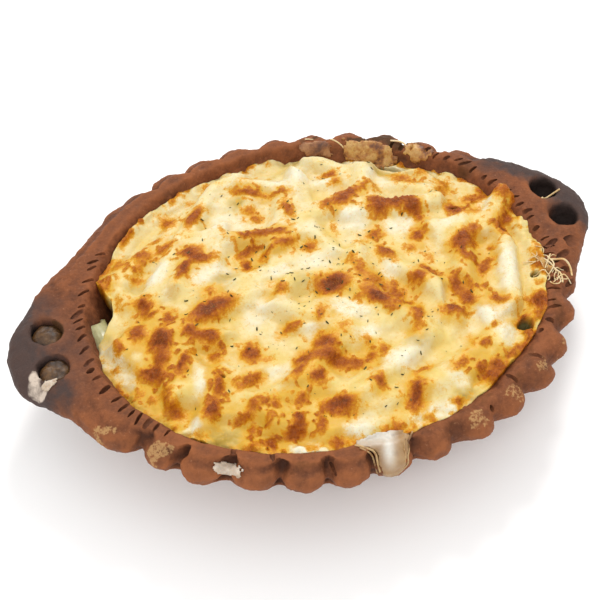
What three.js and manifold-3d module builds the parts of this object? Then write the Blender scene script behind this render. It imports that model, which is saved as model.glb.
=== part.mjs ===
// Baked pasta in its own oval clay dish.
//
// Three solids lie in one another:
//   dish           one piece of fired clay: a bowl on a flat foot, a brim pinched into lobes, and a lug at each
//                  end with two blind finger holes
//   pasta_filling  penne in white sauce, which fills the bowl up to the underside of the cheese
//   cheese_crust   the browned cheese, draped over the penne and drawn back from the wall at one end
//
// Millimetres. X runs along the dish, Y across it, Z up. The origin is the middle of the foot, on the table.

import * as THREE from "three";
import Module from "manifold-3d";

// The dish.
const BRIM_HEIGHT = 50; // table to the crest of the brim
const BRIM_THICKNESS = 15; // crest to the underside of the brim
const WALL_THICKNESS = 6;
const FLOOR_THICKNESS = 8;
const MOUTH = { a: 109, b: 91, shift: 3 }; // half length and half width inside the brim, and its place along X
const BRIM = { a: 122, b: 103.5 }; // the brim's outer half length and half width, at the lobes' crests
const FOOT = { a: 84, b: 66 }; // the flat foot
const LUG = { reach: 115, radius: 30, offset: 6 }; // middle and radius of each lug's round end
const HOLE = { radius: 6.7, lip: 1.6, depth: 10 };
const HOLE_PLACES = [
  [-121, 19],
  [-124.5, -2],
  [132, 15],
  [131, -5],
];

// The brim's lobes.
const LOBES = 37; // the lobes that would go all the way round
const SECTORS_PER_LOBE = 5;
const LOBE_DEPTH = { mean: 5.2, front: 1.3 }; // crest to valley, and how much deeper it is at the front
const LOBE_SINK = 2.6; // how far a thumb pressed a valley down
const LOBED_ARCS = [
  [20, 131],
  [202, 344],
]; // degrees from +X, counter-clockwise
const LOBE_FADE = 9; // degrees over which the lobes die out at each end of an arc
const HAND = 0.8; // how far the hand-shaped clay strays from its true outline

// The food.
const GAP = 0.4; // clearance between solids that touch
const CRUST_THICKNESS = 4.2;
const CRUST_RIM = { height: 45.8, tilt: 2.8 }; // the crust's top at the wall, and how much higher it is in front
const CRUST_RISE = 8.4; // how far the middle of the crust stands above its rim
const PENNE = { count: 34, length: 42, radius: 6.2 }; // the tubes whose shape shows through the crust
const DRAWN_BACK = { middle: 176, spread: 16, depth: 9 }; // where the crust has left the wall, in degrees and mm
const HOLLOW = { middle: 164, spread: 7, depth: 15 }; // where the filling has sunk away from the wall too

const FOOD_SECTORS = 64;
const TURN = 2 * Math.PI;
const GOLDEN_ANGLE = Math.PI * (3 - Math.sqrt(5));

const { clamp, degToRad, lerp, radToDeg, smoothstep } = THREE.MathUtils;

// The distance from an ellipse's middle to its edge, in the direction angle.
function ellipseRadius({ a, b }, angle) {
  return (a * b) / Math.hypot(b * Math.cos(angle), a * Math.sin(angle));
}

// A slow waver from -1 to 1 that closes on itself round the dish, as hand-shaped clay has.
function waver(angle, start) {
  const waves = [
    [0.5, 3, 1],
    [0.3, 7, 2.3],
    [0.2, 13, 4.1],
  ];
  return waves.reduce((sum, [size, times, lead]) => sum + size * Math.sin(times * angle + lead * start), 0);
}

function mouthRadius(angle) {
  return ellipseRadius(MOUTH, angle) + HAND * waver(angle, 2);
}

// The outline of a band drawn tight round the brim's ellipse and the two lugs' round ends.
function bandRadius(angle) {
  const widest = degToRad(80);
  const step = degToRad(1);
  let radius = Infinity;
  for (let off = -widest; off <= widest; off += step) {
    const facing = angle + off;
    const brim = Math.hypot(BRIM.a * Math.cos(facing), BRIM.b * Math.sin(facing));
    const lug = LUG.reach * Math.abs(Math.cos(facing)) + LUG.offset * Math.sin(facing) + LUG.radius;
    radius = Math.min(radius, Math.max(brim, lug) / Math.cos(off));
  }
  return radius;
}

// Angles that part the band's outline into equal lengths.
function evenAngles(count) {
  const fine = 720;
  const angles = Array.from({ length: fine + 1 }, (_, i) => (i * TURN) / fine);
  const points = angles.map((angle) => new THREE.Vector2().setX(bandRadius(angle)).rotateAround({ x: 0, y: 0 }, angle));
  const along = [0];
  for (let i = 1; i <= fine; i++) {
    along.push(along[i - 1] + points[i].distanceTo(points[i - 1]));
  }
  return Array.from({ length: count }, (_, i) => {
    const target = (along[fine] * i) / count;
    const k = along.findIndex((length) => length > target);
    return lerp(angles[k - 1], angles[k], (target - along[k - 1]) / (along[k] - along[k - 1]));
  });
}

// 1 where the brim is pinched into lobes, 0 on the lugs.
function pinched(angle) {
  const degrees = radToDeg(angle);
  const shares = LOBED_ARCS.map(
    ([from, to]) => smoothstep(degrees, from, from + LOBE_FADE) * (1 - smoothstep(degrees, to - LOBE_FADE, to)),
  );
  return Math.max(...shares);
}

// For each sector of the dish: its angle, the mouth, the foot and the brim's edge as radii, and how deep the thumb
// pressed there. Lobes are round, and the valleys between them are narrow.
function dishSectors() {
  return evenAngles(LOBES * SECTORS_PER_LOBE).map((angle, i) => {
    const roundness = Math.abs(Math.sin((Math.PI * i) / SECTORS_PER_LOBE)) ** 0.7;
    const valley = (1 - roundness) * pinched(angle) * (1 + 0.3 * waver(angle, 5));
    const depth = LOBE_DEPTH.mean - LOBE_DEPTH.front * Math.sin(angle);
    return {
      angle,
      mouth: mouthRadius(angle),
      foot: ellipseRadius(FOOT, angle),
      edge: bandRadius(angle) - depth * valley + HAND * waver(angle, 0.4),
      sunk: LOBE_SINK * valley,
    };
  });
}

// How far out the bowl's wall stands at a share of its height: it leaves the floor flat and ends steep.
function bowed(bottom, top, share) {
  return lerp(bottom, top, share ** 0.6);
}

const LIP_HEIGHT = BRIM_HEIGHT - 1.8; // the brim's inner edge
const WALL_STOPS = [0, 0.1, 0.35, 1]; // shares of the inner wall's height at which it bends

// The inner wall's [radius, height] at each stop, from the floor up.
function insideWall({ mouth, foot }) {
  return WALL_STOPS.map((share) => [
    bowed(foot - WALL_THICKNESS, mouth, share),
    lerp(FLOOR_THICKNESS, LIP_HEIGHT, share),
  ]);
}

// The inner wall's radius at a height between the floor and the lip, on the same straight stretches.
function insideRadius(sector, height) {
  const wall = insideWall(sector);
  const k = wall.findIndex(([, z]) => z > height);
  const [r0, z0] = wall[k - 1];
  const [r1, z1] = wall[k];
  return lerp(r0, r1, (height - z0) / (z1 - z0));
}

// The dish's section at one sector, as [radius, height] from the foot up the outside, over the brim and down inside.
function dishSection(sector) {
  const { mouth, foot, edge, sunk } = sector;
  const under = BRIM_HEIGHT - BRIM_THICKNESS;
  const shoulder = mouth + WALL_THICKNESS;
  const outside = [0, 0.2, 1].map((share) => [bowed(foot, shoulder, share), share * under]);
  const brim = [
    [lerp(shoulder, edge, 0.55), under + 0.4],
    [edge - 2.2, under + 2.2],
    [edge, under + 6.5],
    [edge - 1.6, BRIM_HEIGHT - 4.2 - sunk],
    [edge - 6, BRIM_HEIGHT - 1.8 - sunk],
    [lerp(mouth, edge, 0.45), BRIM_HEIGHT - 0.4 - 0.4 * sunk],
    [mouth + 2.6, BRIM_HEIGHT],
  ];
  return [...outside, ...brim, ...insideWall(sector).reverse()];
}

// A point at a radius and height in a sector's direction. The bowl leans, so that its mouth lies a little along X.
function place(angle, radius, height) {
  const shift = (MOUTH.shift * height) / BRIM_HEIGHT;
  return new THREE.Vector3(shift + radius * Math.cos(angle), radius * Math.sin(angle), height);
}

// A closed geometry from rings of points, joined in order, with a point at each end. Each four-sided patch is split
// along its shorter diagonal, so that two surfaces of one shape are split alike.
function ringsGeometry(rings, firstPole, lastPole) {
  const around = rings[0].length;
  const points = [firstPole, ...rings.flat(), lastPole];
  const at = (ring, i) => 1 + ring * around + (i % around);
  const faces = [];
  for (let i = 0; i < around; i++) {
    faces.push(0, at(0, i + 1), at(0, i));
    for (let ring = 0; ring + 1 < rings.length; ring++) {
      const [a, b, c, d] = [at(ring, i), at(ring, i + 1), at(ring + 1, i + 1), at(ring + 1, i)];
      const alongAC = points[a].distanceTo(points[c]) < points[b].distanceTo(points[d]);
      faces.push(...(alongAC ? [a, b, c, a, c, d] : [a, b, d, b, c, d]));
    }
    faces.push(at(rings.length - 1, i), at(rings.length - 1, i + 1), points.length - 1);
  }
  return new THREE.BufferGeometry().setFromPoints(points).setIndex(faces);
}

const wasm = await Module();
wasm.setup();

// A closed geometry as a manifold-3d solid: corners at one place are joined, and triangles that shrink to a line
// at a pole are left out.
function toSolid(geometry) {
  const position = geometry.getAttribute("position");
  const seen = new Map();
  const vertices = [];
  const joined = Array.from({ length: position.count }, (_, i) => {
    const point = [position.getX(i), position.getY(i), position.getZ(i)];
    const key = point.map((value) => Math.round(value * 1000)).join();
    if (!seen.has(key)) {
      seen.set(key, vertices.length / 3);
      vertices.push(...point);
    }
    return seen.get(key);
  });
  const index = Array.from(geometry.index.array, (i) => joined[i]);
  const faces = [];
  for (let i = 0; i < index.length; i += 3) {
    const corners = index.slice(i, i + 3);
    if (new Set(corners).size === 3) faces.push(...corners);
  }
  return new wasm.Manifold(
    new wasm.Mesh({ numProp: 3, vertProperties: new Float32Array(vertices), triVerts: new Uint32Array(faces) }),
  );
}

// A manifold-3d solid as a three.js geometry.
function toGeometry(solid) {
  const { vertProperties, triVerts } = solid.getMesh();
  const geometry = new THREE.BufferGeometry();
  geometry.setAttribute("position", new THREE.BufferAttribute(new Float32Array(vertProperties), 3));
  geometry.setIndex(new THREE.BufferAttribute(new Uint32Array(triVerts), 1));
  return geometry;
}

// What a finger takes out of the clay: a round-bottomed hole that flares at its lip.
function holeCutter() {
  const { radius, lip, depth } = HOLE;
  const above = 4;
  const profile = [
    [0, -depth],
    [radius * 0.6, -depth + 0.8],
    [radius * 0.95, -depth + 3.2],
    [radius, -depth + 6],
    [radius + 0.3, -2],
    [radius + lip, 0.4],
    [radius + lip, above],
    [0, above],
  ].map(([r, z]) => new THREE.Vector2(r, z));
  return new THREE.LatheGeometry(profile, 24).rotateX(Math.PI / 2);
}

// The clay dish: the bowl and brim in one, less the finger holes.
function makeDish() {
  const sectors = dishSectors();
  const sections = sectors.map(dishSection);
  const rings = sections[0].map((_, k) => sectors.map(({ angle }, i) => place(angle, ...sections[i][k])));
  const bowl = toSolid(ringsGeometry(rings, new THREE.Vector3(), place(0, 0, FLOOR_THICKNESS)));
  const lugTop = BRIM_HEIGHT - 1;
  const holes = HOLE_PLACES.map(([x, y]) => toSolid(holeCutter().translate(x, y, lugTop)));
  return toGeometry(holes.reduce((clay, hole) => clay.subtract(hole), bowl));
}

// The tubes under the crust: spread like seeds in a flower head, and turned every way.
function penneLayout() {
  return Array.from({ length: PENNE.count }, (_, i) => {
    const out = 0.86 * Math.sqrt((i + 0.5) / PENNE.count);
    const around = i * GOLDEN_ANGLE;
    const turn = 1.7 * i * i;
    return {
      x: out * MOUTH.a * Math.cos(around),
      y: out * MOUTH.b * Math.sin(around),
      along: [Math.cos(turn), Math.sin(turn)],
      lift: 1.2 * Math.sin(2.7 * i),
    };
  });
}

// How far the tubes push the crust up at a point.
function penneRelief(tubes, x, y) {
  const half = PENNE.length / 2 - PENNE.radius;
  const reach = PENNE.radius * 1.5;
  const heights = tubes.map(({ x: cx, y: cy, along: [ux, uy], lift }) => {
    const run = clamp((x - cx) * ux + (y - cy) * uy, -half, half);
    const off = Math.hypot(x - cx - run * ux, y - cy - run * uy) / reach;
    return off < 1 ? (PENNE.radius * 0.6 + lift) * Math.cos((off * Math.PI) / 2) ** 2 : 0;
  });
  return Math.max(0, ...heights);
}

// How much a hollow in the food's edge takes away in one direction.
function hollowed({ middle, spread, depth }, angle) {
  return depth * Math.exp(-(((radToDeg(angle) - middle) / spread) ** 2));
}

// For each sector of the food: the bowl there, the height of the crust's rim, and the crust's outer radius.
function foodSectors() {
  return Array.from({ length: FOOD_SECTORS }, (_, i) => {
    const angle = (i * TURN) / FOOD_SECTORS;
    const bowl = { angle, mouth: mouthRadius(angle), foot: ellipseRadius(FOOT, angle) };
    const rim = CRUST_RIM.height - CRUST_RIM.tilt * Math.sin(angle);
    const edge = insideRadius(bowl, rim - CRUST_THICKNESS - GAP) - GAP - hollowed(DRAWN_BACK, angle);
    return { ...bowl, rim, edge };
  });
}

// A ring of the crust's top at a share of the way from its middle to its edge, sunk by some depth: a low dome
// that the tubes lift.
function crustRing(sectors, tubes, share, sink) {
  return sectors.map(({ angle, rim, edge }) => {
    const radius = share * edge;
    const relief = penneRelief(tubes, radius * Math.cos(angle), radius * Math.sin(angle));
    const level = lerp(CRUST_RIM.height, rim, share ** 2);
    const dome = CRUST_RISE * (1 - share ** 3) ** 1.2;
    return place(angle, radius, level + dome + (1 - share ** 8) * (relief - 1) - sink);
  });
}

const UNDER_SHARES = [0.25, 0.5, 0.75, 0.93]; // the rings of the crust's underside, which the filling repeats

// The middle of a crust ring that has shrunk to a point.
function crustMiddle(sectors, tubes, sink) {
  return crustRing(sectors, tubes, 0, sink)[0];
}

// The cheese: out along the underside, round the edge, and back in over the top.
function makeCrust(sectors, tubes) {
  const under = UNDER_SHARES.map((share) => crustRing(sectors, tubes, share, CRUST_THICKNESS));
  const edge = crustRing(sectors, tubes, 1, CRUST_THICKNESS * 0.75);
  const topRings = 13;
  const top = Array.from({ length: topRings }, (_, k) => crustRing(sectors, tubes, 1 - k / topRings, 0));
  const poles = [CRUST_THICKNESS, 0].map((sink) => crustMiddle(sectors, tubes, sink));
  return ringsGeometry([...under, edge, ...top], ...poles);
}

// A ring of the filling against the bowl's wall, at a height for each sector, less how far it has sunk away.
function wallRing(sectors, heightOf, slackOf) {
  return sectors.map((sector) => {
    const height = heightOf(sector);
    return place(sector.angle, insideRadius(sector, height) - GAP - slackOf(sector), height + GAP);
  });
}

// The penne and sauce: out over the bowl's floor, up its wall, and back in under the cheese.
function makeFilling(sectors, tubes) {
  const sink = CRUST_THICKNESS + GAP;
  const stops = WALL_STOPS.slice(0, 3).map((share) => lerp(FLOOR_THICKNESS, LIP_HEIGHT, share));
  const low = stops.map((height) => wallRing(sectors, () => height, () => 0));
  const high = wallRing(sectors, ({ rim }) => rim - sink - 2, ({ angle }) => hollowed(HOLLOW, angle));
  const top = [1, ...UNDER_SHARES.toReversed()].map((share) => crustRing(sectors, tubes, share, sink));
  const firstPole = place(0, 0, FLOOR_THICKNESS + GAP);
  return ringsGeometry([...low, high, ...top], firstPole, crustMiddle(sectors, tubes, sink));
}

function clayMaterial() {
  return new THREE.MeshStandardMaterial({ color: 0x7c4f3c, roughness: 0.7, metalness: 0 });
}

function sauceMaterial() {
  return new THREE.MeshStandardMaterial({ color: 0xe9e0b4, roughness: 0.5, metalness: 0 });
}

function cheeseMaterial() {
  return new THREE.MeshStandardMaterial({ color: 0xf2d98a, roughness: 0.45, metalness: 0 });
}

function named(name, geometry, material) {
  const mesh = new THREE.Mesh(geometry, material);
  mesh.name = name;
  return mesh;
}

const tubes = penneLayout();
const food = foodSectors();

const bakedPasta = new THREE.Group();
bakedPasta.add(named("dish", makeDish(), clayMaterial()));
bakedPasta.add(named("pasta_filling", makeFilling(food, tubes), sauceMaterial()));
bakedPasta.add(named("cheese_crust", makeCrust(food, tubes), cheeseMaterial()));

export default bakedPasta;
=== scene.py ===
# %% [markdown]
# # Baked pasta in a clay dish
#
# We finish a baked pasta that is still in the clay dish it was baked in. The CAD model gives the true
# sizes and places: a dish with a pinched brim and two lugs, the pasta and sauce that fill it, and the
# cheese crust on top. We keep its frame (metres, X along the dish, Z up, the origin under the middle of
# the foot) and build the looks.

# %% Load the frame
import math
import random
from contextlib import contextmanager

import bmesh
import bpy
import numpy as np
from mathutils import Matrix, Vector, noise
from mathutils.bvhtree import BVHTree


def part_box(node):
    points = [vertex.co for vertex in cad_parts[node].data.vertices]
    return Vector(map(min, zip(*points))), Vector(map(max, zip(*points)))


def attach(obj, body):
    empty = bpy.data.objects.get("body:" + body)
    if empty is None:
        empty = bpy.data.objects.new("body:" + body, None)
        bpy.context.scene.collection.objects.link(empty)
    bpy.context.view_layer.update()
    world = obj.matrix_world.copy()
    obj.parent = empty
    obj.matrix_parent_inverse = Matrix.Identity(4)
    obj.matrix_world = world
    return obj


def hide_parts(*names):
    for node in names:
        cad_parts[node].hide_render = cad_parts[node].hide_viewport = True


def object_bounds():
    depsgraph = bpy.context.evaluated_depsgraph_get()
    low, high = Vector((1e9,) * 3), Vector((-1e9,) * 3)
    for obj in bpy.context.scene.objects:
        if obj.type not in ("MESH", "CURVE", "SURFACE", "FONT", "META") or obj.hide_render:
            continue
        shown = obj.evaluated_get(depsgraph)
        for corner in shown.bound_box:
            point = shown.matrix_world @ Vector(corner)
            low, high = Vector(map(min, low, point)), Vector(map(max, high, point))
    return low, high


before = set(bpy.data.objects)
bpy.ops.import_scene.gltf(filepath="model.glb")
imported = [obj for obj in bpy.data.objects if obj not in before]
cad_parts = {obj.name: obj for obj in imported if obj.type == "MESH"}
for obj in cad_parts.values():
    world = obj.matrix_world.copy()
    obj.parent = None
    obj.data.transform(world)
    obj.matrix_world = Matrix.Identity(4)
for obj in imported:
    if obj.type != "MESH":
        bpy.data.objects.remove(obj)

MM = 0.001
noise.seed_set(4)  # without a seed, each run would shift the noise and fray the marks another way
CAD_BOX = [list(corner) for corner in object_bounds()]
DISH_LOW, DISH_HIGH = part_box("dish")
BRIM_TOP = DISH_HIGH.z
print("CAD box in mm:", [[round(v / MM, 1) for v in corner] for corner in CAD_BOX])

# %% [markdown]
# ## Helpers
#
# Operators act on whatever is selected, so each step first selects just what it means to change. A
# modifier is added with its settings and applied at once, as you would by hand in the modifier panel.

# %% Select one object, apply a modifier, copy a piece
def select_only(*pieces):
    bpy.ops.object.select_all(action="DESELECT")
    for piece in pieces:
        piece.select_set(True)
    bpy.context.view_layer.objects.active = pieces[0]


def apply_modifier(piece, kind, **settings):
    select_only(piece)
    modifier = piece.modifiers.new(kind.title(), kind)
    for name, value in settings.items():
        setattr(modifier, name, value)
    bpy.ops.object.modifier_apply(modifier=modifier.name)


def copy_of(piece, name):
    twin = piece.copy()
    twin.data = piece.data.copy()
    twin.parent = None
    twin.modifiers.clear()
    for key in list(twin.keys()):
        del twin[key]
    twin.name = twin.data.name = name
    bpy.context.scene.collection.objects.link(twin)
    return twin


@contextmanager
def editing(piece, action="SELECT"):
    select_only(piece)
    bpy.ops.object.mode_set(mode="EDIT")
    bpy.ops.mesh.select_all(action=action)
    yield
    bpy.ops.object.mode_set(mode="OBJECT")


def named(name):
    # The object that an operator has just added
    piece = bpy.context.object
    piece.name = piece.data.name = name
    return piece


def merged_copy(node, name):
    piece = copy_of(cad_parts[node], name)
    piece.data.materials.clear()
    with editing(piece):
        bpy.ops.mesh.remove_doubles(threshold=0.01 * MM)
    return piece


def settle(piece):
    select_only(piece)
    bpy.ops.object.transform_apply(location=True, rotation=True, scale=True)


def join(pieces, name):
    select_only(*pieces)
    bpy.ops.object.join()
    pieces[0].name = pieces[0].data.name = name
    return pieces[0]


def points_of(piece):
    flat = np.empty(len(piece.data.vertices) * 3)
    piece.data.vertices.foreach_get("co", flat)
    return flat.reshape(-1, 3)


def set_points(piece, points):
    piece.data.vertices.foreach_set("co", points.astype(np.float32).ravel())
    piece.data.update()


def triangles(piece):
    return sum(len(polygon.vertices) - 2 for polygon in piece.data.polygons)


def push_lumps(piece, name, size, strength, middle=0.5, depth=2):
    # Pushes the surface in and out by a cloud texture
    texture = bpy.data.textures.new(name, "CLOUDS")
    texture.noise_scale = size
    texture.noise_depth = depth
    apply_modifier(piece, "DISPLACE", texture=texture, strength=strength, mid_level=middle)


# %% [markdown]
# ## The camera
#
# The camera stands 50 degrees above the table, turned 22.5 degrees from the dish's long side, with a 75
# mm lens. It aims a little beside the middle of the brim, so the dish sits slightly right of the middle
# of the frame.

# %% Place the camera
ELEVATION, AZIMUTH = math.radians(50), math.radians(22.5)
DISTANCE, ASIDE, ABOVE = 579 * MM, 5.9 * MM, 8.0 * MM
HALF_VIEW = math.radians(13.5)
SENSOR = 36


def aim_camera():
    forward = Vector((
        math.sin(AZIMUTH) * math.cos(ELEVATION),
        math.cos(AZIMUTH) * math.cos(ELEVATION),
        -math.sin(ELEVATION),
    ))
    right = Vector((math.cos(AZIMUTH), -math.sin(AZIMUTH), 0))
    up = right.cross(forward)
    data = bpy.data.cameras.new("camera")
    data.sensor_width = SENSOR
    data.lens = SENSOR / 2 / math.tan(HALF_VIEW)
    camera = bpy.data.objects.new("camera", data)
    bpy.context.scene.collection.objects.link(camera)
    middle = Vector((0, 0, BRIM_TOP))
    camera.location = middle - forward * DISTANCE - right * ASIDE - up * ABOVE
    camera.rotation_euler = forward.to_track_quat("-Z", "Y").to_euler()
    bpy.context.scene.camera = camera
    return camera


camera = aim_camera()
print("camera at", [round(v, 3) for v in camera.location])

# %% [markdown]
# ## Floor and light
#
# A plain white floor that fades into a white room, a large soft lamp high behind the dish, and a weaker
# one in front. The shadow then falls forward and to the left, soft and pale.

# %% Make the floor and the lamps
def make_floor():
    bpy.ops.mesh.primitive_plane_add(size=6, location=(0, 0, 0))
    floor = named("floor")
    material = bpy.data.materials.new("white_floor")
    material.use_nodes = True
    shader = material.node_tree.nodes["Principled BSDF"]
    shader.inputs["Base Color"].default_value = (0.95, 0.95, 0.95, 1)
    shader.inputs["Roughness"].default_value = 0.6
    shader.inputs["Emission Color"].default_value = (1.0, 0.96, 0.93, 1)
    shader.inputs["Emission Strength"].default_value = 0.045
    floor.data.materials.append(material)


def add_lamp(name, place, size, watts, colour):
    data = bpy.data.lights.new(name, "AREA")
    data.shape = "DISK"
    data.size = size
    data.energy = watts
    data.color = colour
    lamp = bpy.data.objects.new(name, data)
    bpy.context.scene.collection.objects.link(lamp)
    lamp.location = place
    lamp.rotation_euler = (Vector((0, 0, 0.04)) - Vector(place)).to_track_quat("-Z", "Y").to_euler()


def light_room():
    world = bpy.data.worlds.new("room")
    world.use_nodes = True
    background = world.node_tree.nodes["Background"]
    background.inputs["Color"].default_value = (1.0, 1.0, 1.0, 1)
    background.inputs["Strength"].default_value = 1.0
    bpy.context.scene.world = world
    add_lamp("key", (0.95, 1.75, 2.2), 0.75, 36, (1.0, 0.985, 0.96))
    add_lamp("fill", (-1.4, -1.2, 1.8), 1.0, 13, (1.0, 0.98, 0.96))


make_floor()
light_room()
bpy.context.scene.view_settings.view_transform = "Standard"
print("view:", bpy.context.scene.view_settings.view_transform)

# %% [markdown]
# ## Helpers for finishes
#
# Baked clay and browned cheese are never one flat colour. Each finish mixes noise with marks that we
# store on the mesh's points. A finish is a small chain of nodes, and this class adds a node and links it
# in one call. Noise is placed by Object coordinates, so it stays on the piece wherever the camera stands.

# %% A finish, built node by node
ROOM_LIGHT = 1.18  # the room lifts every colour by this much, so pigments are mixed that much darker


def rgb(red, green, blue):
    def linear(value):
        value = value / 255
        value = value / 12.92 if value <= 0.04045 else ((value + 0.055) / 1.055) ** 2.4
        return value / ROOM_LIGHT

    return (linear(red), linear(green), linear(blue), 1)


def grey(value):
    return (value, value, value, 1)


BLACK, WHITE = grey(0), grey(1)


class Finish:
    def __init__(self, name):
        self.material = bpy.data.materials.new(name)
        self.material.use_nodes = True
        self.nodes = self.material.node_tree.nodes
        self.links = self.material.node_tree.links
        self.shader = self.nodes["Principled BSDF"]
        self.place = self.nodes.new("ShaderNodeTexCoord").outputs["Object"]

    def put(self, value, socket):
        if isinstance(value, (int, float, tuple)):
            socket.default_value = value
        else:
            self.links.new(value, socket)

    def set(self, name, value):
        self.put(value, self.shader.inputs[name])

    def noise(self, scale, detail=4, roughness=0.6, output=0):
        node = self.nodes.new("ShaderNodeTexNoise")
        node.inputs["Scale"].default_value = scale
        node.inputs["Detail"].default_value = detail
        node.inputs["Roughness"].default_value = roughness
        self.put(self.place, node.inputs["Vector"])
        return node.outputs[output]

    def mark(self, name):
        node = self.nodes.new("ShaderNodeAttribute")
        node.attribute_name = name
        return node.outputs["Fac"]

    def math(self, operation, first, second):
        node = self.nodes.new("ShaderNodeMath")
        node.operation = operation
        self.put(first, node.inputs[0])
        self.put(second, node.inputs[1])
        return node.outputs[0]

    def ramp(self, source, *stops):
        node = self.nodes.new("ShaderNodeValToRGB")
        elements = node.color_ramp.elements
        while len(elements) < len(stops):
            elements.new(0.5)
        for element, (place, colour) in zip(elements, stops):
            element.position = place
            element.color = colour
        self.put(source, node.inputs[0])
        return node.outputs[0]

    def mix(self, share, first, second, blend="MIX"):
        node = self.nodes.new("ShaderNodeMix")
        node.data_type = "RGBA"
        node.blend_type = blend
        for index, value in ((0, share), (6, first), (7, second)):
            self.put(value, node.inputs[index])
        return node.outputs[2]

    def speckled(self, mask, grain, low, high):
        # Keeps a mark only where the grain noise is strong enough
        reach = self.math("ADD", mask, self.math("SUBTRACT", grain, 0.5))
        return self.ramp(reach, (low, BLACK), (high, WHITE))

    def scatter(self, weight, radius, scale):
        self.set("Subsurface Weight", weight)
        self.set("Subsurface Radius", radius)
        self.set("Subsurface Scale", scale)

    def bumps(self, *layers):
        previous = None
        for height, strength, distance in layers:
            bump = self.nodes.new("ShaderNodeBump")
            bump.inputs["Strength"].default_value = strength
            bump.inputs["Distance"].default_value = distance
            self.put(height, bump.inputs["Height"])
            if previous is not None:
                self.put(previous, bump.inputs["Normal"])
            previous = bump.outputs["Normal"]
        self.set("Normal", previous)


# %% [markdown]
# ## Marks on a mesh's points
#
# Soot, dust and browning sit in certain places, so a noise alone can't put them there. We list each place
# as an oval, work out how strongly every point of the mesh lies inside one, and store that as an
# attribute with one number per point. A finish reads it back with an Attribute node.

# %% Marks on a mesh's points
def strength_at(places, x, y, hard, soft):
    rest = np.ones_like(x)
    for cx, cy, half_length, half_width, turn, strength in places:
        turn = math.radians(turn)
        dx = x - cx
        dy = y - cy
        along = (dx * math.cos(turn) + dy * math.sin(turn)) / half_length
        across = (dy * math.cos(turn) - dx * math.sin(turn)) / half_width
        share = np.hypot(along, across)
        rest *= 1 - strength * np.clip((soft - share) / (soft - hard), 0, 1) ** 1.2
    return 1 - rest


def noise_field(points, size, shift=0.0):
    offset = Vector((shift, 2 * shift, 3 * shift))
    return np.array([noise.noise_vector(Vector(point) / size + offset) for point in points])


def store(piece, name, values):
    attribute = piece.data.attributes.new(name, "FLOAT", "POINT")
    attribute.data.foreach_set("value", values.astype(np.float32))


def finish_piece(piece, material, slot, *nodes):
    piece.data.materials.clear()
    piece.data.materials.append(material)
    select_only(piece)
    bpy.ops.object.shade_smooth()
    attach(piece, "root")
    if nodes:
        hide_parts(*nodes)


# %% [markdown]
# ## The clay
#
# The dish was shaped by hand from clay, so no edge on it is sharp and no stretch quite true. We copy the
# CAD dish, turn it into an even skin of small squares with a voxel remesh, and smooth that. Then the
# lobes of the brim are made bolder or flatter by direction, thumbs push the brim here and there, and
# three sizes of cloud texture press it in and out, as fingers did.

# %% Shape the clay
CLAY_VOXEL = 1.35 * MM
FILM_ROOM = 0.9 * MM  # the clay stays this much inside the box at the front, where cheese ran over it
LOW_LIMIT = np.array(DISH_LOW) + np.array((0, FILM_ROOM, 0))
HIGH_LIMIT = np.array(DISH_HIGH)
# How much more the lobes stand out than in the CAD dish, by direction in degrees
LOBE_GAIN = (
    [-180, -150, -140, -100, -80, -45, -10, 20, 180],
    [1.0, 1.3, 1.5, 1.3, 0.45, 0.15, -0.1, 1.1, 1.0],
)
# Where the brim's top is smooth and only its outer edge has grooves, by direction in degrees
SMOOTH_TOP = ([-180, -100, -80, -15, 5, 180], [0, 0, 1, 1, 0, 0])
FLATTEN_TOP = 0.85  # how much of the lobes' relief a smooth top loses
MOUTH_HALF_LENGTH, MOUTH_HALF_WIDTH = 107 * MM, 88 * MM
RIM_PUSHES = [
    # x, y, reach (mm), and the move in x and in y (mm)
    (-82, -68, 24, -5.0, 2.2),
    (-114, -41, 9, -1.6, -2.6),
    (-101, -50, 4, 1.2, 2.6),
    (-128, -16, 16, 0.8, 2.0),
    (-116, 44, 26, -3.0, 2.4),
    (-66, 86, 30, -1.2, 1.6),
    (44, -97, 18, 2.2, -3.4),
    (80, -78, 20, 4.6, -4.2),
    (106, -55, 15, 2.8, -1.6),
    (142, 20, 14, -2.4, 0.4),
]


def falloff(points, x, y, reach):
    away = np.hypot(points[:, 0] / MM - x, points[:, 1] / MM - y)
    return np.exp(-((away / reach) ** 2))


def deepen(piece, passes, gain_by_direction):
    # Adds the difference from a smoothed copy once more: crests rise, valleys sink
    smooth = copy_of(piece, "smoothed")
    apply_modifier(smooth, "SMOOTH", factor=0.5, iterations=passes)
    points = points_of(piece)
    degrees = np.degrees(np.arctan2(points[:, 1], points[:, 0]))
    gain = np.interp(degrees, *gain_by_direction)
    out = np.hypot(points[:, 0] / MOUTH_HALF_LENGTH, points[:, 1] / MOUTH_HALF_WIDTH)
    smooth_top = np.interp(degrees, *SMOOTH_TOP) * np.clip((1.15 - out) / 0.06, 0, 1)
    gain = (gain * (1 - smooth_top) - FLATTEN_TOP * smooth_top)[:, None]
    moved = points + gain * (points - points_of(smooth))
    bpy.data.objects.remove(smooth)
    above_foot = np.clip((points[:, 2:] - 8 * MM) / (10 * MM), 0, 1)
    moved = points + (moved - points) * above_foot
    set_points(piece, np.clip(moved, LOW_LIMIT, HIGH_LIMIT))


def push_rim(piece):
    # Thumbs moved the clay along the brim or out of it
    points = points_of(piece)
    out = np.hypot(points[:, 0] / MOUTH_HALF_LENGTH, points[:, 1] / MOUTH_HALF_WIDTH)
    outer = np.clip((out - 0.98) / 0.10, 0, 1)
    for x, y, reach, move_x, move_y in RIM_PUSHES:
        weight = falloff(points, x, y, reach) * outer
        points[:, 0] += move_x * MM * weight
        points[:, 1] += move_y * MM * weight
    set_points(piece, points)


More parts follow.
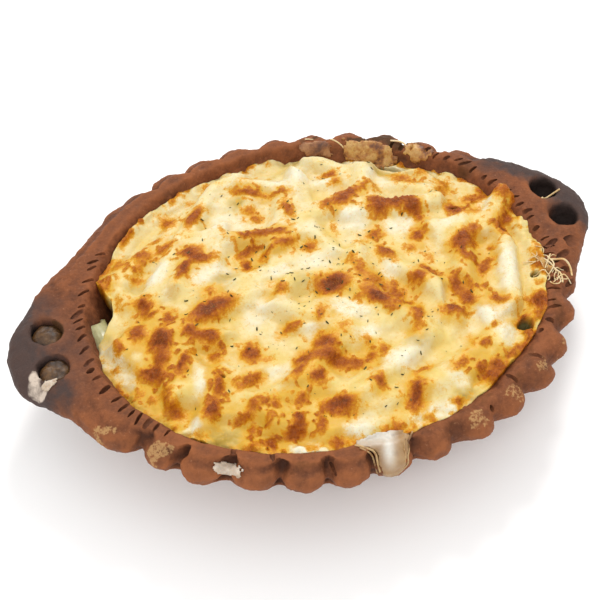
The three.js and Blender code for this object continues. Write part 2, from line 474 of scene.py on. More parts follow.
def make_clay():
    clay = merged_copy("dish", "dish_clay")
    apply_modifier(clay, "REMESH", mode="VOXEL", voxel_size=CLAY_VOXEL)
    apply_modifier(clay, "SMOOTH", factor=0.6, iterations=5)
    deepen(clay, 70, LOBE_GAIN)
    push_rim(clay)
    push_lumps(clay, "finger_marks", 12 * MM, 2.0 * MM)
    push_lumps(clay, "tears", 5 * MM, 1.1 * MM, depth=3)
    push_lumps(clay, "clay_grit", 2.4 * MM, 0.45 * MM)
    return clay


clay = make_clay()
print("clay:", triangles(clay), "triangles")


def tree_of(piece):
    mesh = bmesh.new()
    mesh.from_mesh(piece.data)
    tree = BVHTree.FromBMesh(mesh)
    mesh.free()
    return tree


# %% [markdown]
# ## Notches along the mouth
#
# The potter pressed a blade into the wet clay beside the mouth, again and again, at both ends of the
# dish. We model one long bead, lay copies along the brim, and subtract them with a Boolean. A few bigger
# ones make the thumb marks by the right lug and the cracks between the lobes in front.

# %% Press the notches
FOOD_CENTRE_X = 3 * MM
NOTCH_PITCH = 5.0 * MM
NOTCH_ARCS = [(148, 214), (-38, 46)]  # directions in degrees
NOTCH_SKEWS = ([-40, 25, 66, 127, 150, 166, 180, 192, 236], [8, -20, 25, 24, 30, 42, 24, 6, 30])
GOUGES = [
    # x, y, half length, half width, depth (mm), turn (degrees)
    (115, -20, 4.5, 1.7, 1.8, 20), (117, -28, 5.0, 1.9, 1.8, 15), (114, -36, 5.5, 1.6, 1.6, -10),
    (113, -43, 5.0, 1.7, 1.5, 10), (126, -22, 6.5, 4.0, 1.6, -10), (108, -52, 4.0, 1.5, 1.2, 30),
    (-66, -72, 4.5, 1.2, 1.5, 60), (-52, -80, 4.0, 1.2, 1.4, 75), (61, -83, 6.0, 1.1, 1.6, -60),
    (45, -92, 5.5, 1.1, 1.6, -75), (76, -76, 6.0, 1.1, 1.5, -45), (-30, -93, 4.5, 1.0, 1.2, 85),
]


def make_bead():
    bpy.ops.object.select_all(action="DESELECT")
    bpy.ops.mesh.primitive_uv_sphere_add(segments=12, ring_count=8, radius=1, location=(0, 0, 0))
    bead = named("notch_bead")
    with editing(bead):
        bpy.ops.transform.resize(value=(1, 1, 0.9))
    return bead


DOWNWARD = Vector((0, 0, -1))


def surface_below(tree, x, y):
    hit = tree.ray_cast(Vector((x, y, 70 * MM)), DOWNWARD)
    return hit[0].z if hit[0] is not None else 0.0


def press_bead(bead, tree, x, y, half_length, half_width, depth, turn):
    copy = copy_of(bead, "notch")
    copy.scale = (half_length, half_width, depth)
    copy.rotation_euler = (0, 0, turn)
    copy.location = (x, y, surface_below(tree, x, y) - 0.15 * depth)
    settle(copy)
    return copy


def notch_places(tree):
    places = []
    for first, last in NOTCH_ARCS:
        degrees = first
        while degrees < last:
            angle = math.radians(degrees)
            direction = Vector((math.cos(angle), math.sin(angle), 0))
            hit = tree.ray_cast(Vector((FOOD_CENTRE_X, 0, 45 * MM)), direction)
            edge = hit[3] + (4.2 + random.uniform(-1.3, 1.3)) * MM
            skew = np.interp(degrees, *NOTCH_SKEWS) + random.uniform(-12, 12)
            turn = angle + math.radians(skew)
            places.append((FOOD_CENTRE_X + edge * direction.x, edge * direction.y, turn))
            degrees += math.degrees(NOTCH_PITCH / edge) * random.choice((0.8, 0.95, 1.1, 1.5))
    return places


def press_notches(piece):
    random.seed(3)
    bead = make_bead()
    tree = tree_of(piece)
    beads = []
    for x, y, turn in notch_places(tree):
        length = random.uniform(2.2, 4.8) * MM
        width = random.choice((0.7, 0.8, 0.9, 1.1, 1.4)) * MM
        beads.append(press_bead(bead, tree, x, y, length, width, random.uniform(1.3, 2.6) * MM, turn))
    for x, y, half_length, half_width, depth, turn in GOUGES:
        beads.append(press_bead(
            bead, tree, x * MM, y * MM, half_length * MM, half_width * MM, depth * MM, math.radians(turn)
        ))
    count = len(beads)
    cutter = join(beads, "notch_cutter")
    apply_modifier(piece, "BOOLEAN", object=cutter, operation="DIFFERENCE", solver="MANIFOLD")
    bpy.data.objects.remove(cutter)
    bpy.data.objects.remove(bead)
    return count


print("notches pressed:", press_notches(clay))
apply_modifier(clay, "SMOOTH", factor=0.5, iterations=2)
push_lumps(clay, "dried_edges", 2.2 * MM, 0.8 * MM)
set_points(clay, np.clip(points_of(clay), LOW_LIMIT, HIGH_LIMIT))
clay_tree = tree_of(clay)

# %% [markdown]
# ## Soot, ash and dust on the clay
#
# The lugs stood nearest to the fire and turned grey with soot, fat ran into the left lug's holes and
# burned, beige dust stuck to the greasy lobes, and the right lug's deep holes are painted near-black as
# shade. Each mark is a list of ovals, frayed with noise, and stored on the clay's points. The creases are
# found by comparing the clay with a smoothed copy of itself: what lies below the copy is one of them.

# %% Mark the clay
# x, y, half length, half width (mm), turn (degrees), strength
SOOT = [
    (-140, 8, 27, 12, 88, 1), (-134, 26, 18, 10, 60, 0.9), (-134, -10, 11, 7, -40, 0.9),
    (-122, 6, 16, 30, 0, 0.5), (141, 4, 26, 8, 98, 0.95), (137, 26, 20, 9, 130, 1),
    (122, 38, 18, 6, 150, 0.8), (133, 6, 12, 7, 90, 0.6),
]
# Painted shade: the right lug's two deep holes are coloured near-black
HOLE_SHADE = [(131, 15, 7.5, 7.5, 0, 1), (131, -5, 7.5, 7.5, 0, 1)]
GREASE = [
    (-121, 19, 7.4, 7.4, 0, 1), (-124.5, -2, 7.4, 7.4, 0, 1), (31, 89, 6, 2.5, 80, 0.6),
    (42, 90, 5, 3, 20, 0.7), (60, 78, 7, 4, -30, 1), (69, 79, 6, 3, -40, 1), (80, 70, 7, 4, -40, 0.9),
    (75, 76, 5, 3, 60, 0.6), (112, -2, 4, 10, 0, 0.35), (0, -99, 30, 3, 0, 0.25),
    (100, 42, 6, 4, -40, 0.5), (38, -91, 24, 2.5, 12, 0.35), (72, -76, 22, 3, 38, 0.35),
    (97, -54, 14, 3, 60, 0.4), (-40, -91, 20, 2, -15, 0.4),
]
DUST = [
    (-112, -41, 11, 6, -30, 1), (-94, -58, 9, 6, -35, 1), (-79, -73, 7, 5, -40, 0.7),
    (-108, 12, 3, 7, 0, 0.7), (-108, 2, 3, 5, 0, 0.6), (-103, -42, 5, 4, 0, 0.45),
    (-60, -84, 8, 4, -25, 0.6), (92, -72, 9, 4, 40, 0.95), (-40, 88, 5, 2, 20, 0.3),
    (-106, -14, 3, 4, 0, 0.4), (112, 24, 6, 5, 0, 0.4), (57, -89, 7, 4, 30, 0.9),
    (76, -80, 9, 4, 40, 0.95), (104, -42, 3, 9, -20, 0.6), (112, -30, 4, 7, -15, 0.6),
    (36, -97, 5, 4, 60, 0.95),
]
ASH = [
    (-129, -9, 4.6, 2.4, 25, 1), (-134, -5, 5, 4, 60, 0.75), (-138, -8, 5, 2.5, -60, 0.55),
    (-132, 2, 4, 3, 80, 0.4),
]
TOP_ONLY = (38 * MM, 44 * MM)


def mark_clay(piece):
    points = points_of(piece)
    fray = noise_field(points, 9 * MM, 3) * 5 + noise_field(points, 2.5 * MM, 9) * 1.6
    x = points[:, 0] / MM + fray[:, 0]
    y = points[:, 1] / MM + fray[:, 1]
    top = np.clip((points[:, 2] - TOP_ONLY[0]) / (TOP_ONLY[1] - TOP_ONLY[0]), 0, 1)
    deep_x = points[:, 0] / MM + 0.15 * fray[:, 0]
    deep_y = points[:, 1] / MM + 0.15 * fray[:, 1]
    ends = np.clip((np.abs(points[:, 0] / MM + 0.7 * fray[:, 0]) - 126) / 12, 0, 1)
    return {
        "soot": np.maximum(strength_at(SOOT, x, y, 0.4, 1.9), 0.8 * ends * (1 - top)),
        "painted_hole_shade": strength_at(HOLE_SHADE, deep_x, deep_y, 0.85, 1.0),
        "grease": np.maximum(
            strength_at(GREASE[:2], deep_x, deep_y, 0.85, 1.05),  # these two fill holes and keep their edge
            strength_at(GREASE[2:], x, y, 0.5, 1.5) * top,
        ),
        "dust": strength_at(DUST, x, y, 0.5, 1.5),
        "ash": strength_at(ASH, x, y, 0.6, 1.6) * top,
    }


def crease_depth(piece, passes, full_depth):
    smooth = copy_of(piece, "smoothed")
    apply_modifier(smooth, "SMOOTH", factor=0.5, iterations=passes)
    normals = np.empty(len(piece.data.vertices) * 3)
    piece.data.vertices.foreach_get("normal", normals)
    below = ((points_of(smooth) - points_of(piece)) * normals.reshape(-1, 3)).sum(axis=1)
    bpy.data.objects.remove(smooth)
    return np.clip(below / full_depth, -1, 1)


for name, values in mark_clay(clay).items():
    store(clay, name, values)
# Points below the smoothed copy are painted darker as shade, points above it lighter as a painted highlight
store(clay, "painted_crease_shade", np.clip(crease_depth(clay, 24, 0.8 * MM), 0, 1))
store(clay, "painted_crest_highlight", np.clip(-crease_depth(clay, 24, 0.9 * MM), 0, 1))
print("clay points marked:", len(clay.data.vertices))

# %% [markdown]
# ## The clay's finish
#
# Unglazed red clay is matte and mottled. Two noises vary the red-brown, creases are darkened as painted
# shade, crests are lightened as a painted highlight, and the marks add soot, ash and dust. Ash and dust
# are broken up by a fine noise, so they read as grains instead of paint.

# %% Finish the clay
def clay_material():
    finish = Finish("fired_clay")
    cloud = finish.noise(38, 5, 0.62)
    patch = finish.noise(120, 5, 0.65)
    grit = finish.noise(700, 5, 0.7)
    tone = finish.ramp(
        cloud,
        (0.30, rgb(98, 60, 39)), (0.46, rgb(122, 74, 48)),
        (0.58, rgb(142, 85, 53)), (0.72, rgb(158, 100, 63)),
    )
    blotch = finish.ramp(patch, (0.34, rgb(87, 52, 37)), (0.52, rgb(132, 78, 50)), (0.70, rgb(154, 92, 58)))
    shade = finish.ramp(grit, (0.30, grey(0.62)), (0.55, WHITE), (0.75, grey(1.12)))
    base = finish.mix(0.7, finish.mix(0.5, tone, blotch), shade, "MULTIPLY")
    layers = [
        # where, how strongly, in what colour
        (finish.ramp(grit, (0.62, BLACK), (0.72, WHITE)), 0.45, rgb(201, 149, 109)),
        # painted highlight: crests are lightened toward an orange clay colour
        (finish.mark("painted_crest_highlight"), 0.55, rgb(178, 108, 64)),
        # painted shade: creases are darkened toward a dark brown
        (finish.mark("painted_crease_shade"), 0.8, rgb(66, 40, 30)),
        (finish.speckled(finish.mark("soot"), patch, 0.2, 0.8), 0.88, rgb(68, 61, 60)),
        (finish.speckled(finish.mark("grease"), patch, 0.3, 0.75), 0.85, rgb(74, 50, 26)),
        # painted shade in the right lug's deep holes
        (finish.mark("painted_hole_shade"), 0.9, rgb(44, 34, 30)),
        (finish.speckled(finish.mark("dust"), grit, 0.88, 1.16), 0.7, rgb(200, 158, 104)),
        (finish.speckled(finish.mark("ash"), patch, 0.55, 0.85), 0.92, rgb(226, 208, 190)),
    ]
    for mask, strength, colour in layers:
        base = finish.mix(finish.math("MULTIPLY", mask, strength), base, colour)
    finish.set("Base Color", base)
    finish.set("Roughness", finish.ramp(patch, (0.3, grey(0.52)), (0.7, grey(0.78))))
    finish.set("Specular IOR Level", 0.14)
    finish.bumps((patch, 0.7, 1.8 * MM), (grit, 0.7, 0.6 * MM))
    return finish.material


finish_piece(clay, clay_material(), "clay", "dish")
select_only(clay)
bpy.ops.object.shade_smooth_by_angle(angle=math.radians(45))

# %% [markdown]
# ## The food's level
#
# Before any pasta goes in we need two facts: how far out the bowl's wall stands in each direction, which
# we measure by sending rays from the middle to the clay, and how high the food stands, a low dome that is
# a little higher at the front.

# %% Measure the bowl, describe the dome
FOOD_RIM = 45.8 * MM
FOOD_TILT = 2.2 * MM
FOOD_RISE = 6.8 * MM
DIRECTIONS = np.radians(np.arange(0, 361, 2))


def food_middle(height):
    return Vector((3 * MM * height / BRIM_TOP, 0, height))


def wall_radii(tree, height):
    middle = food_middle(height)
    radii = []
    for angle in DIRECTIONS:
        hit = tree.ray_cast(middle, Vector((math.cos(angle), math.sin(angle), 0)))
        radii.append(hit[3])
    return np.array(radii)


WALL = wall_radii(clay_tree, 43 * MM)
MIDDLE_X = food_middle(43 * MM).x


def wall_at(angle):
    return np.interp(np.mod(angle, 2 * math.pi), DIRECTIONS, WALL)


def dome_height(x, y):
    angle = np.arctan2(y, x - MIDDLE_X)
    share = np.minimum(np.hypot(x - MIDDLE_X, y) / wall_at(angle), 1)
    rim = FOOD_RIM - FOOD_TILT * np.sin(angle) * share**2
    return rim + FOOD_RISE * (1 - share**3) ** 1.2


print("bowl:", round(2 * WALL.max() / MM), "by", round(2 * WALL.min() / MM), "mm inside")

# %% [markdown]
# ## One piece of penne
#
# Penne is a tube cut slantwise at both ends. We start from a cylinder without caps, give it a wall with
# Solidify, and cut its ends with two slanting bisects, which also fill the cut. Every other tube is a
# copy of this one.

# %% Model the tube
PENNE_LENGTH = 46 * MM
PENNE_RADIUS = 5.3 * MM
PENNE_WALL = 1.7 * MM


def make_penne():
    bpy.ops.mesh.primitive_cylinder_add(
        vertices=20, radius=PENNE_RADIUS, depth=PENNE_LENGTH * 1.3, end_fill_type="NOTHING",
        rotation=(0, math.pi / 2, 0),
    )
    tube = named("penne_model")
    settle(tube)
    with editing(tube):
        bpy.ops.mesh.subdivide(number_cuts=5)
    apply_modifier(tube, "SOLIDIFY", thickness=PENNE_WALL, offset=-1)
    for side in (-1, 1):
        with editing(tube):
            bpy.ops.mesh.bisect(
                plane_co=(side * PENNE_LENGTH / 2, 0, 0),
                plane_no=(side * 0.76, 0, 0.65),
                clear_outer=True,
                use_fill=True,
            )
    return tube


penne_model = make_penne()
print("one penne:", triangles(penne_model), "triangles")

# %% [markdown]
# ## The heap
#
# The tubes lie every which way, most of them nearly flat. We lay some one by one, where a tube shows clearly
# through the cheese, and fill the rest of the dome with a loose spiral of tubes, each with its own turn.

# %% Lay the tubes
random.seed(7)
GOLDEN_ANGLE = math.pi * (3 - math.sqrt(5))
TUBES_IN_HEAP = 66
LAID_BY_HAND = [
    # x, y, turn in degrees, dip of one end in degrees, height of its top above the dome; all lengths in mm
    (88, -27, 66, 3, 3.0),
    (103, 12, 42, -8, 6.5),
    (18, -86, 6, 0, 1.5),
    (66, -52, 80, 0, 1.5),
    (15, -58, 24, 2, 2.5),
    (45, -66, 18, 2, 2.0),
    (-12, -84, -20, 0, 2.0),
    (-50, -1, 12, 3, 2.5),
    (-49, 33, 52, 6, 3.2),
    (-86, 38, 28, 4, 3.5),
    (-12, 34, -16, 2, 2.4),
    (33, 43, 16, 2, 2.4),
    (54, 30, -8, 2, 2.4),
    (74, -6, 65, 2, 2.6),
    (-66, -46, 50, 2, 2.4),
    (-12, -42, 28, 4, 2.8),
    (24, -24, -58, 2, 2.6),
    (5, 66, -34, 2, 2.2),
    (-36, 61, 46, 2, 2.2),
    (-76, -14, 82, 2, 2.4),
]


def lay_tube(x, y, turn, dip, top):
    tube = copy_of(penne_model, "penne")
    tube.rotation_euler = (random.uniform(0, math.tau), math.radians(dip), math.radians(turn))
    tube.location = (x, y, dome_height(x, y) + top - PENNE_RADIUS)
    settle(tube)
    return tube


def lay_heap():
    heap = [lay_tube(x * MM, y * MM, turn, dip, top * MM) for x, y, turn, dip, top in LAID_BY_HAND]
    for i in range(TUBES_IN_HEAP):
        out = 0.93 * math.sqrt((i + 0.5) / TUBES_IN_HEAP)
        angle = i * GOLDEN_ANGLE
        reach = out * float(wall_at(angle)) - 4 * MM
        x = MIDDLE_X + reach * math.cos(angle)
        y = reach * math.sin(angle)
        turn = random.uniform(0, 180)
        if out > 0.75:
            turn = math.degrees(angle) + 90 + random.uniform(-25, 25)
        heap.append(lay_tube(x, y, turn, random.uniform(-9, 9), random.uniform(-4.0, 2.2) * MM))
    return heap


heap = join(lay_heap(), "penne_heap")
print("heap:", triangles(heap), "triangles")

# %% [markdown]
# ## The cheese, first as a sheet
#
# Melted cheese is one continuous skin. A square grid bent into the food's outline has no pole in its
# middle and keeps its cells even. The grid is then pressed down onto the heap, as the cheese sank while
# it melted.

# %% Bend a grid to the outline
CHEESE_CELLS = 300
# Where the cheese shrank away from the wall at the left end: direction in degrees, gap in mm
DRAWN_BACK = ([152, 156, 159, 163, 168, 172, 176, 180, 196, 200], [0, -2, 3, 9, 9.5, 7, 2, -0.5, -0.5, 0])
# Where it climbed the wall onto the brim, at the right end: direction, then millimetres outward
CLIMBS = ([-44, -34, -20, 4, 12, 22], [0, 1.0, 2.4, 3.2, 2.5, 0])


def cheese_edge(angle):
    radius = wall_at(angle) + (0.6 + 0.5 * np.sin(9 * angle + 1) + 0.4 * np.sin(23 * angle)) * MM
    degrees = np.degrees(np.mod(angle, 2 * math.pi))
    radius = radius + 2.4 * MM * np.clip(-np.sin(angle), 0, 1)  # the wall leans out below the front brim
    climb = np.interp(np.mod(degrees + 180, 360) - 180, *CLIMBS, left=0, right=0)
    return radius + MM * climb - MM * np.interp(degrees, *DRAWN_BACK, left=0, right=0)


def make_sheet():
    bpy.ops.mesh.primitive_grid_add(
        x_subdivisions=CHEESE_CELLS, y_subdivisions=CHEESE_CELLS, size=2, location=(0, 0, 0)
    )
    sheet = named("cheese")
    square = points_of(sheet)
    u, v = square[:, 0], square[:, 1]
    across = u * np.sqrt(1 - v**2 / 2)
    along = v * np.sqrt(1 - u**2 / 2)
    share = np.hypot(across, along)
    angle = np.arctan2(along * wall_at(math.pi / 2) / wall_at(0), across)
    radius = share * cheese_edge(angle)
    square[:, 0] = MIDDLE_X + radius * np.cos(angle)
    square[:, 1] = radius * np.sin(angle)
    square[:, 2] = BRIM_TOP + 20 * MM
    set_points(sheet, square)
    return sheet


cheese = make_sheet()
print("cheese sheet:", len(cheese.data.vertices), "points")

# %% [markdown]
# ## Let the cheese sink onto the pasta
#
# Each point of the sheet falls straight down until it meets a tube or the sauce. Molten cheese bridges
# the small gaps between tubes and rounds every step, so the heights are closed over a few millimetres and
# then softened.

# %% Drape the sheet
CHEESE_LAYER = 1.3 * MM
SAUCE_DROP = 3.5 * MM  # how far below the dome the sauce stands between the tubes
TUBE_ON_BRIM = 11  # direction, in degrees, where a tube leans on the brim
EDGE_DIPS = (  # how far the edge hangs below the dome: direction in degrees, millimetres
    [0, 25, 36, 58, 70, 100, 120, 150, 158, 166, 174, 186, 198, 210, 330, 350],
    [0, 1, 4, 4, 1, -0.5, -2.0, -2.2, -3, 0, 3.5, 3.5, 3, 0, 0, 1],
)


def grid_of(values):
    side = CHEESE_CELLS + 1
    return values.reshape(side, side)


def spread(heights, reach, choose):
    for axis in (0, 1):
        best = heights.copy()
        for step in range(1, reach + 1):
            for way in (-step, step):
                moved = np.roll(heights, way, axis=axis)
                edge = [slice(None), slice(None)]
                edge[axis] = slice(0, way) if way > 0 else slice(way, None)
                moved[tuple(edge)] = heights[tuple(edge)]
                best = choose(best, moved)
        heights = best
    return heights


def soften(heights, times):
    for _ in range(times):
        padded = np.pad(heights, 1, mode="edge")
        heights = (
            padded[:-2, 1:-1] + padded[2:, 1:-1] + padded[1:-1, :-2] + padded[1:-1, 2:]
            + 4 * padded[1:-1, 1:-1]
        ) / 8
    return heights


def drape(sheet, heap):
    points = points_of(sheet)
    floor = dome_height(points[:, 0], points[:, 1]) - SAUCE_DROP
    tree = tree_of(heap)
    heights = floor.copy()
    for i, point in enumerate(points):
        hit = tree.ray_cast(Vector(point), DOWNWARD)
        if hit[0] is not None:
            heights[i] = max(heights[i], hit[0].z)
    grid = grid_of(heights)
    grid = spread(spread(grid, 4, np.maximum), 4, np.minimum)
    grid = soften(grid, 16)
    angle = np.arctan2(points[:, 1], points[:, 0] - MIDDLE_X)
    share = np.hypot(points[:, 0] - MIDDLE_X, points[:, 1]) / wall_at(angle)
    degrees = np.mod(np.degrees(angle), 360)
    near_wall = np.clip((share - 0.93) / 0.07, 0, 1) * (1 - np.exp(-(((degrees - TUBE_ON_BRIM) / 9) ** 2)))
    rim = dome_height(points[:, 0], points[:, 1]) - MM * np.interp(degrees, *EDGE_DIPS)
    flat = points * np.array((1, 1, 0))
    ragged = noise_field(flat, 7 * MM, 41)[:, 0] + 0.6 * noise_field(flat, 3 * MM, 43)[:, 0]
    rim = rim + 2.2 * MM * ragged
    rim = rim + 0.9 * MM * np.interp(np.mod(degrees + 180, 360) - 180, *CLIMBS, left=0, right=0)
    points[:, 2] = (grid.ravel() + CHEESE_LAYER) * (1 - near_wall) + rim * near_wall
    set_points(sheet, points)


drape(cheese, heap)
heights = points_of(cheese)[:, 2] / MM
print("cheese from", round(heights.min(), 1), "to", round(heights.max(), 1), "mm")

# %% [markdown]
# ## Where the cheese browned
#
# Heat browned the cheese in separate blisters: dark in the middle, golden around. Each is an oval that
# we place and then fray with noise, so that none has a drawn edge; one small oval at the left edge is
# painted shade. Two more lists say where the cheese stayed creamy white and where fat pooled; the second
# also paints a gap under the back brim olive, as shade.

# %% List the browned, creamy and oily places, and the places painted as shade
# x, y, half length, half width (mm), turn (degrees), strength
BROWNED_AND_SHADE = [
    (-49, 66, 6.5, 4, 75, 0.62), (-37, 60, 8.5, 3, 45, 0.75), (-68, 47, 5, 4, 0, 0.62),
    (-56, 47, 6, 2.6, 15, 0.65), (-59, 54, 5, 2, 0, 0.45), (-79, 47, 5, 4, 90, 0.5),
    (-72, 41, 4, 3, 0, 0.4), (-75, 35, 3.5, 3, 0, 0.4), (-95, 36, 4, 3, 0, 0.7),
    (-87, 38, 4, 2, 45, 0.65), (-47, 37, 5.5, 5, 0, 0.85), (-43, 31, 7, 3.2, -25, 0.8),
    (-53, 27, 8, 2.6, 45, 0.85), (-7, 67, 10, 2.2, -36, 0.75), (7, 60, 6, 2.2, -15, 0.62),
    (1, 76, 7, 2, 12, 0.45), (-20, 83, 6, 1.6, 0, 0.4), (-35, 76, 4, 2, 0, 0.3), (-10, 56, 4, 3, 0, 0.5),
    (-8, 49, 4, 3.4, 90, 0.56), (-29, 43, 5, 1.6, 75, 0.35), (-12, 34, 10, 2.5, -15, 0.72),
    (-20, 37, 3, 2.5, 0, 0.6), (-4, 32, 5, 2.2, 0, 0.65), (-22, 29, 6, 2.5, 10, 0.68),
    (-25, 21, 4.6, 3.1, 95, 0.86), (-14, 23, 4, 3, 0, 0.6), (-4, 25, 6, 3.5, 0, 0.7),
    (-77, 16, 6.5, 4.4, 100, 0.76), (-74, 9, 3, 2, 0, 0.6), (-47, 10, 3, 2.5, 90, 0.45),
    (-52, 16, 3, 2, 0, 0.25), (-84, 3, 6, 4.4, 80, 0.76), (-69, 3, 5, 3, 85, 0.76),
    (-50, 0, 12, 5.6, 12, 0.97), (-94, -2, 4, 3, 90, 0.6), (-99, -10, 3, 2, 0, 0.5),
    (-17, -1, 4.6, 3, 85, 0.55), (-86, 25, 3, 2, 90, 0.35), (-76, -8, 8, 5.6, 85, 0.92),
    (-79, -17, 4, 4, 0, 0.7), (-62, -9, 5, 3, -30, 0.8), (-56, -14, 5.4, 4, -20, 0.78),
    (-85, -21, 6.5, 4.4, -45, 0.86), (-80, -27, 4, 2.5, 0, 0.6), (-71, -24, 6.5, 3, 55, 0.86),
    (-57, -23, 4, 3, 0, 0.55), (-52, -20, 2, 2, 0, 0.5), (-41, -27, 5.6, 4, 85, 0.82),
    # (-100, -20) on the next line is painted shade at the left edge, coloured like browning
    (-20, -23, 5, 3, -10, 0.6), (-5, -22, 5, 3.4, 60, 0.52), (-100, -20, 4.6, 2, 90, 0.6),
    (-93, -26, 3, 3, 0, 0.4), (-89, -32, 2.5, 2.5, 0, 0.5), (-99, -31, 4, 2, 90, 0.5),
    (-83, -33, 3.5, 2.5, 0, 0.5), (-82, -43, 6.5, 4, -45, 0.62), (-85, -50, 3, 1.6, 0, 0.4),
    (-67, -50, 6, 4, 50, 0.9), (-61, -41, 5.5, 3, 60, 0.75), (-59, -34, 3.5, 2, 90, 0.55),
    (-48, -42, 7, 2.5, 5, 0.62), (-36, -33, 3.5, 2, 0, 0.35), (-10, -37, 6.4, 5, 0, 0.87),
    (-21, -42, 5.6, 4.2, 45, 0.82), (-28, -48, 4.5, 2.5, 30, 0.68), (-7, -47, 8.5, 4, -25, 0.76),
    (-14, -44, 6, 2.5, 0, 0.6), (-20, -53, 5, 4.2, 10, 0.76), (0, -51, 3.5, 3, 0, 0.5),
    (-51, -56, 4.5, 3, 10, 0.6), (-58, -58, 4, 2.5, 0, 0.55), (-54, -64, 4, 2.6, 60, 0.55),
    (-42, -58, 3, 3, 0, 0.6), (-46, -64, 3.5, 2.5, 80, 0.5), (-30, -60, 5, 3.4, 0, 0.6),
    (-17, -69, 8.4, 4.5, -25, 0.96), (-35, -69, 3.6, 3.4, 90, 0.86), (-39, -73, 6, 2.6, 0, 0.76),
    (-50, -73, 4, 3.5, 90, 0.76), (-56, -72, 3, 3, 0, 0.45), (-27, -75, 5, 2.5, 75, 0.7),
    (-24, -85, 4.6, 3, 40, 0.66), (-61, -75, 4.5, 4, 90, 0.66), (-48, -85, 4, 3.5, 90, 0.72),
    (-2, -91, 6.5, 3, 30, 0.72), (4, -66, 3.2, 3, 0, 0.7), (6, 46, 7.6, 3.4, 85, 0.66),
    (7, 20, 4, 3, 0, 0.6), (25, 41, 5, 4, 0, 0.6), (33, 41, 5, 4.6, 0, 0.82), (38, 45, 5, 3.5, 10, 0.8),
    (47, 47, 6, 2, 30, 0.55), (53, 46, 4, 2.6, 80, 0.35), (36, 65, 5, 2.5, -20, 0.66),
    (36, 58, 3, 3, 0, 0.5), (47, 31, 6.5, 4.6, 90, 0.72), (56, 30, 9, 4, -10, 0.82),
    (64, 26, 6, 4, 100, 0.87), (65, 19, 3, 3, 0, 0.5), (23, 28, 5, 2, 80, 0.35),
    (40, 17, 4.4, 3.8, 0, 0.66), (31, 13, 4, 2, 40, 0.35), (59, 9, 4.6, 3.4, 80, 0.78),
    (52, 2, 3, 2.6, 0, 0.5), (20, 3, 4, 3, 0, 0.4), (39, 3, 7.4, 4, 100, 0.76),
    (84, 19, 6.6, 4.4, 95, 0.82), (84, 2, 4, 3, 0, 0.66), (76, -4, 7, 5, 20, 0.86),
    (72, -11, 6, 3, 70, 0.8), (72, 45, 4, 3, 0, 0.45), (81, 49, 4, 4, 0, 0.4), (87, 39, 5, 4, 0, 0.55),
    (83, 33, 5, 3, 0, 0.45), (95, 25, 5, 4, 0, 0.62), (92, 14, 5, 3.6, 50, 0.45),
    (98, -2, 5, 3.4, 95, 0.93), (88, -10, 3, 3, 0, 0.5), (104, 5, 5, 4, 30, 0.76),
    (7, -7, 8.4, 5.6, -15, 0.97), (22, -4, 5, 4, 90, 0.52), (26, -12, 6, 5, 0, 0.55),
    (23, -23, 8.4, 4.4, -56, 0.97), (14, -19, 3, 2, 0, 0.5), (33, -20, 5, 5, 0, 0.66),
    (45, -19, 5, 3, 10, 0.76), (52, -14, 5, 2.5, 100, 0.72), (57, -18, 3, 2, -40, 0.5),
    (33, -29, 6, 2, 20, 0.62), (35, -39, 8.4, 3.4, 66, 0.66), (52, -41, 6, 3.8, -20, 0.82),
    (61, -26, 5, 4, 90, 0.76), (62, -35, 5, 4, 90, 0.76), (67, -29, 4, 2.5, 90, 0.55),
    (72, -32, 4, 2.5, 60, 0.62), (78, -21, 5.4, 3.4, 40, 0.72), (83, -17, 4, 2.4, 0, 0.5),
    (73, -16, 3, 2, 0, 0.5), (57, -6, 3, 3, 0, 0.4), (74, -42, 5, 3, -30, 0.72), (93, -48, 6, 5, 0, 0.82),
    (97, -55, 6, 3.6, 0, 0.76), (80, -55, 4.6, 3, 20, 0.72), (65, -55, 2, 2, 0, 0.5),
    (7, -50, 3.5, 3, 90, 0.52), (13, -50, 4, 2.5, 90, 0.55), (8, -42, 5, 2, 90, 0.35),
    (2, -32, 5, 3, 0, 0.35), (52, -60, 4, 2, 50, 0.35), (57, -63, 2.8, 2.8, 0, 0.66),
    (42, -69, 4.6, 3, 35, 0.62), (16, -76, 9.4, 4, 60, 0.87), (25, -64, 5, 1.6, 15, 0.5),
    (52, -78, 5, 4.4, 0, 0.76), (58, -75, 4, 4, 0, 0.76), (54, -83, 5, 2.4, 25, 0.72),
    (49, -73, 3, 2, 0, 0.7), (33, -90, 5, 2, 15, 0.45), (14, -93, 5, 2, 5, 0.45), (2, -86, 4, 3, 60, 0.5),
    (64, -71, 2, 2, 0, 0.5), (75, -70, 4, 1.6, 30, 0.35), (108, 17, 5, 4, 40, 0.7),
    (101, 24, 6, 3, 50, 0.6), (-96, 40, 5, 4, 30, 0.5), (-92, 33, 6, 4, 60, 0.35),
    (70, 52, 7, 3, -40, 0.5),
]
CREAMY = [
    (55, 20, 9, 5, 10, 1), (33, 29, 8, 5, 0, 1), (9, -23, 9, 5, -50, 1), (21, -56, 10, 6, 10, 1),
    (66, -48, 10, 6, 0, 1), (69, -60, 6, 6, 0, 0.8), (88, -28, 13, 5, 66, 1), (-14, -83, 8, 6, 20, 1),
    (22, -87, 17, 4, 5, 1), (-65, 32, 7, 4, 30, 1), (-43, 20, 9, 5, 0, 0.9), (6, 10, 9, 6, 0, 0.8),
    (-31, -9, 6, 6, 0, 0.8), (-94, -18, 4, 4, 0, 1), (-68, -35, 7, 3, 80, 0.8), (-77, -54, 5, 3, 0, 0.9),
    (-33, -42, 6, 4, 0, 0.9), (-38, -84, 8, 4, -20, 1), (36, -7, 4, 5, 0, 1), (22, 66, 14, 5, -15, 0.8),
    (58, 52, 8, 5, -30, 0.7), (-24, 52, 8, 5, 0, 0.8), (-14, 10, 6, 4, 0, 0.7), (98, 16, 7, 3, 45, 1),
    (-98, -8, 5, 14, 5, 1), (36, -76, 5, 4, 0, 0.8), (-12, -28, 6, 4, 0, 0.7), (10, -38, 5, 4, 0, 0.9),
    (76, 10, 9, 4, 10, 0.6),
]
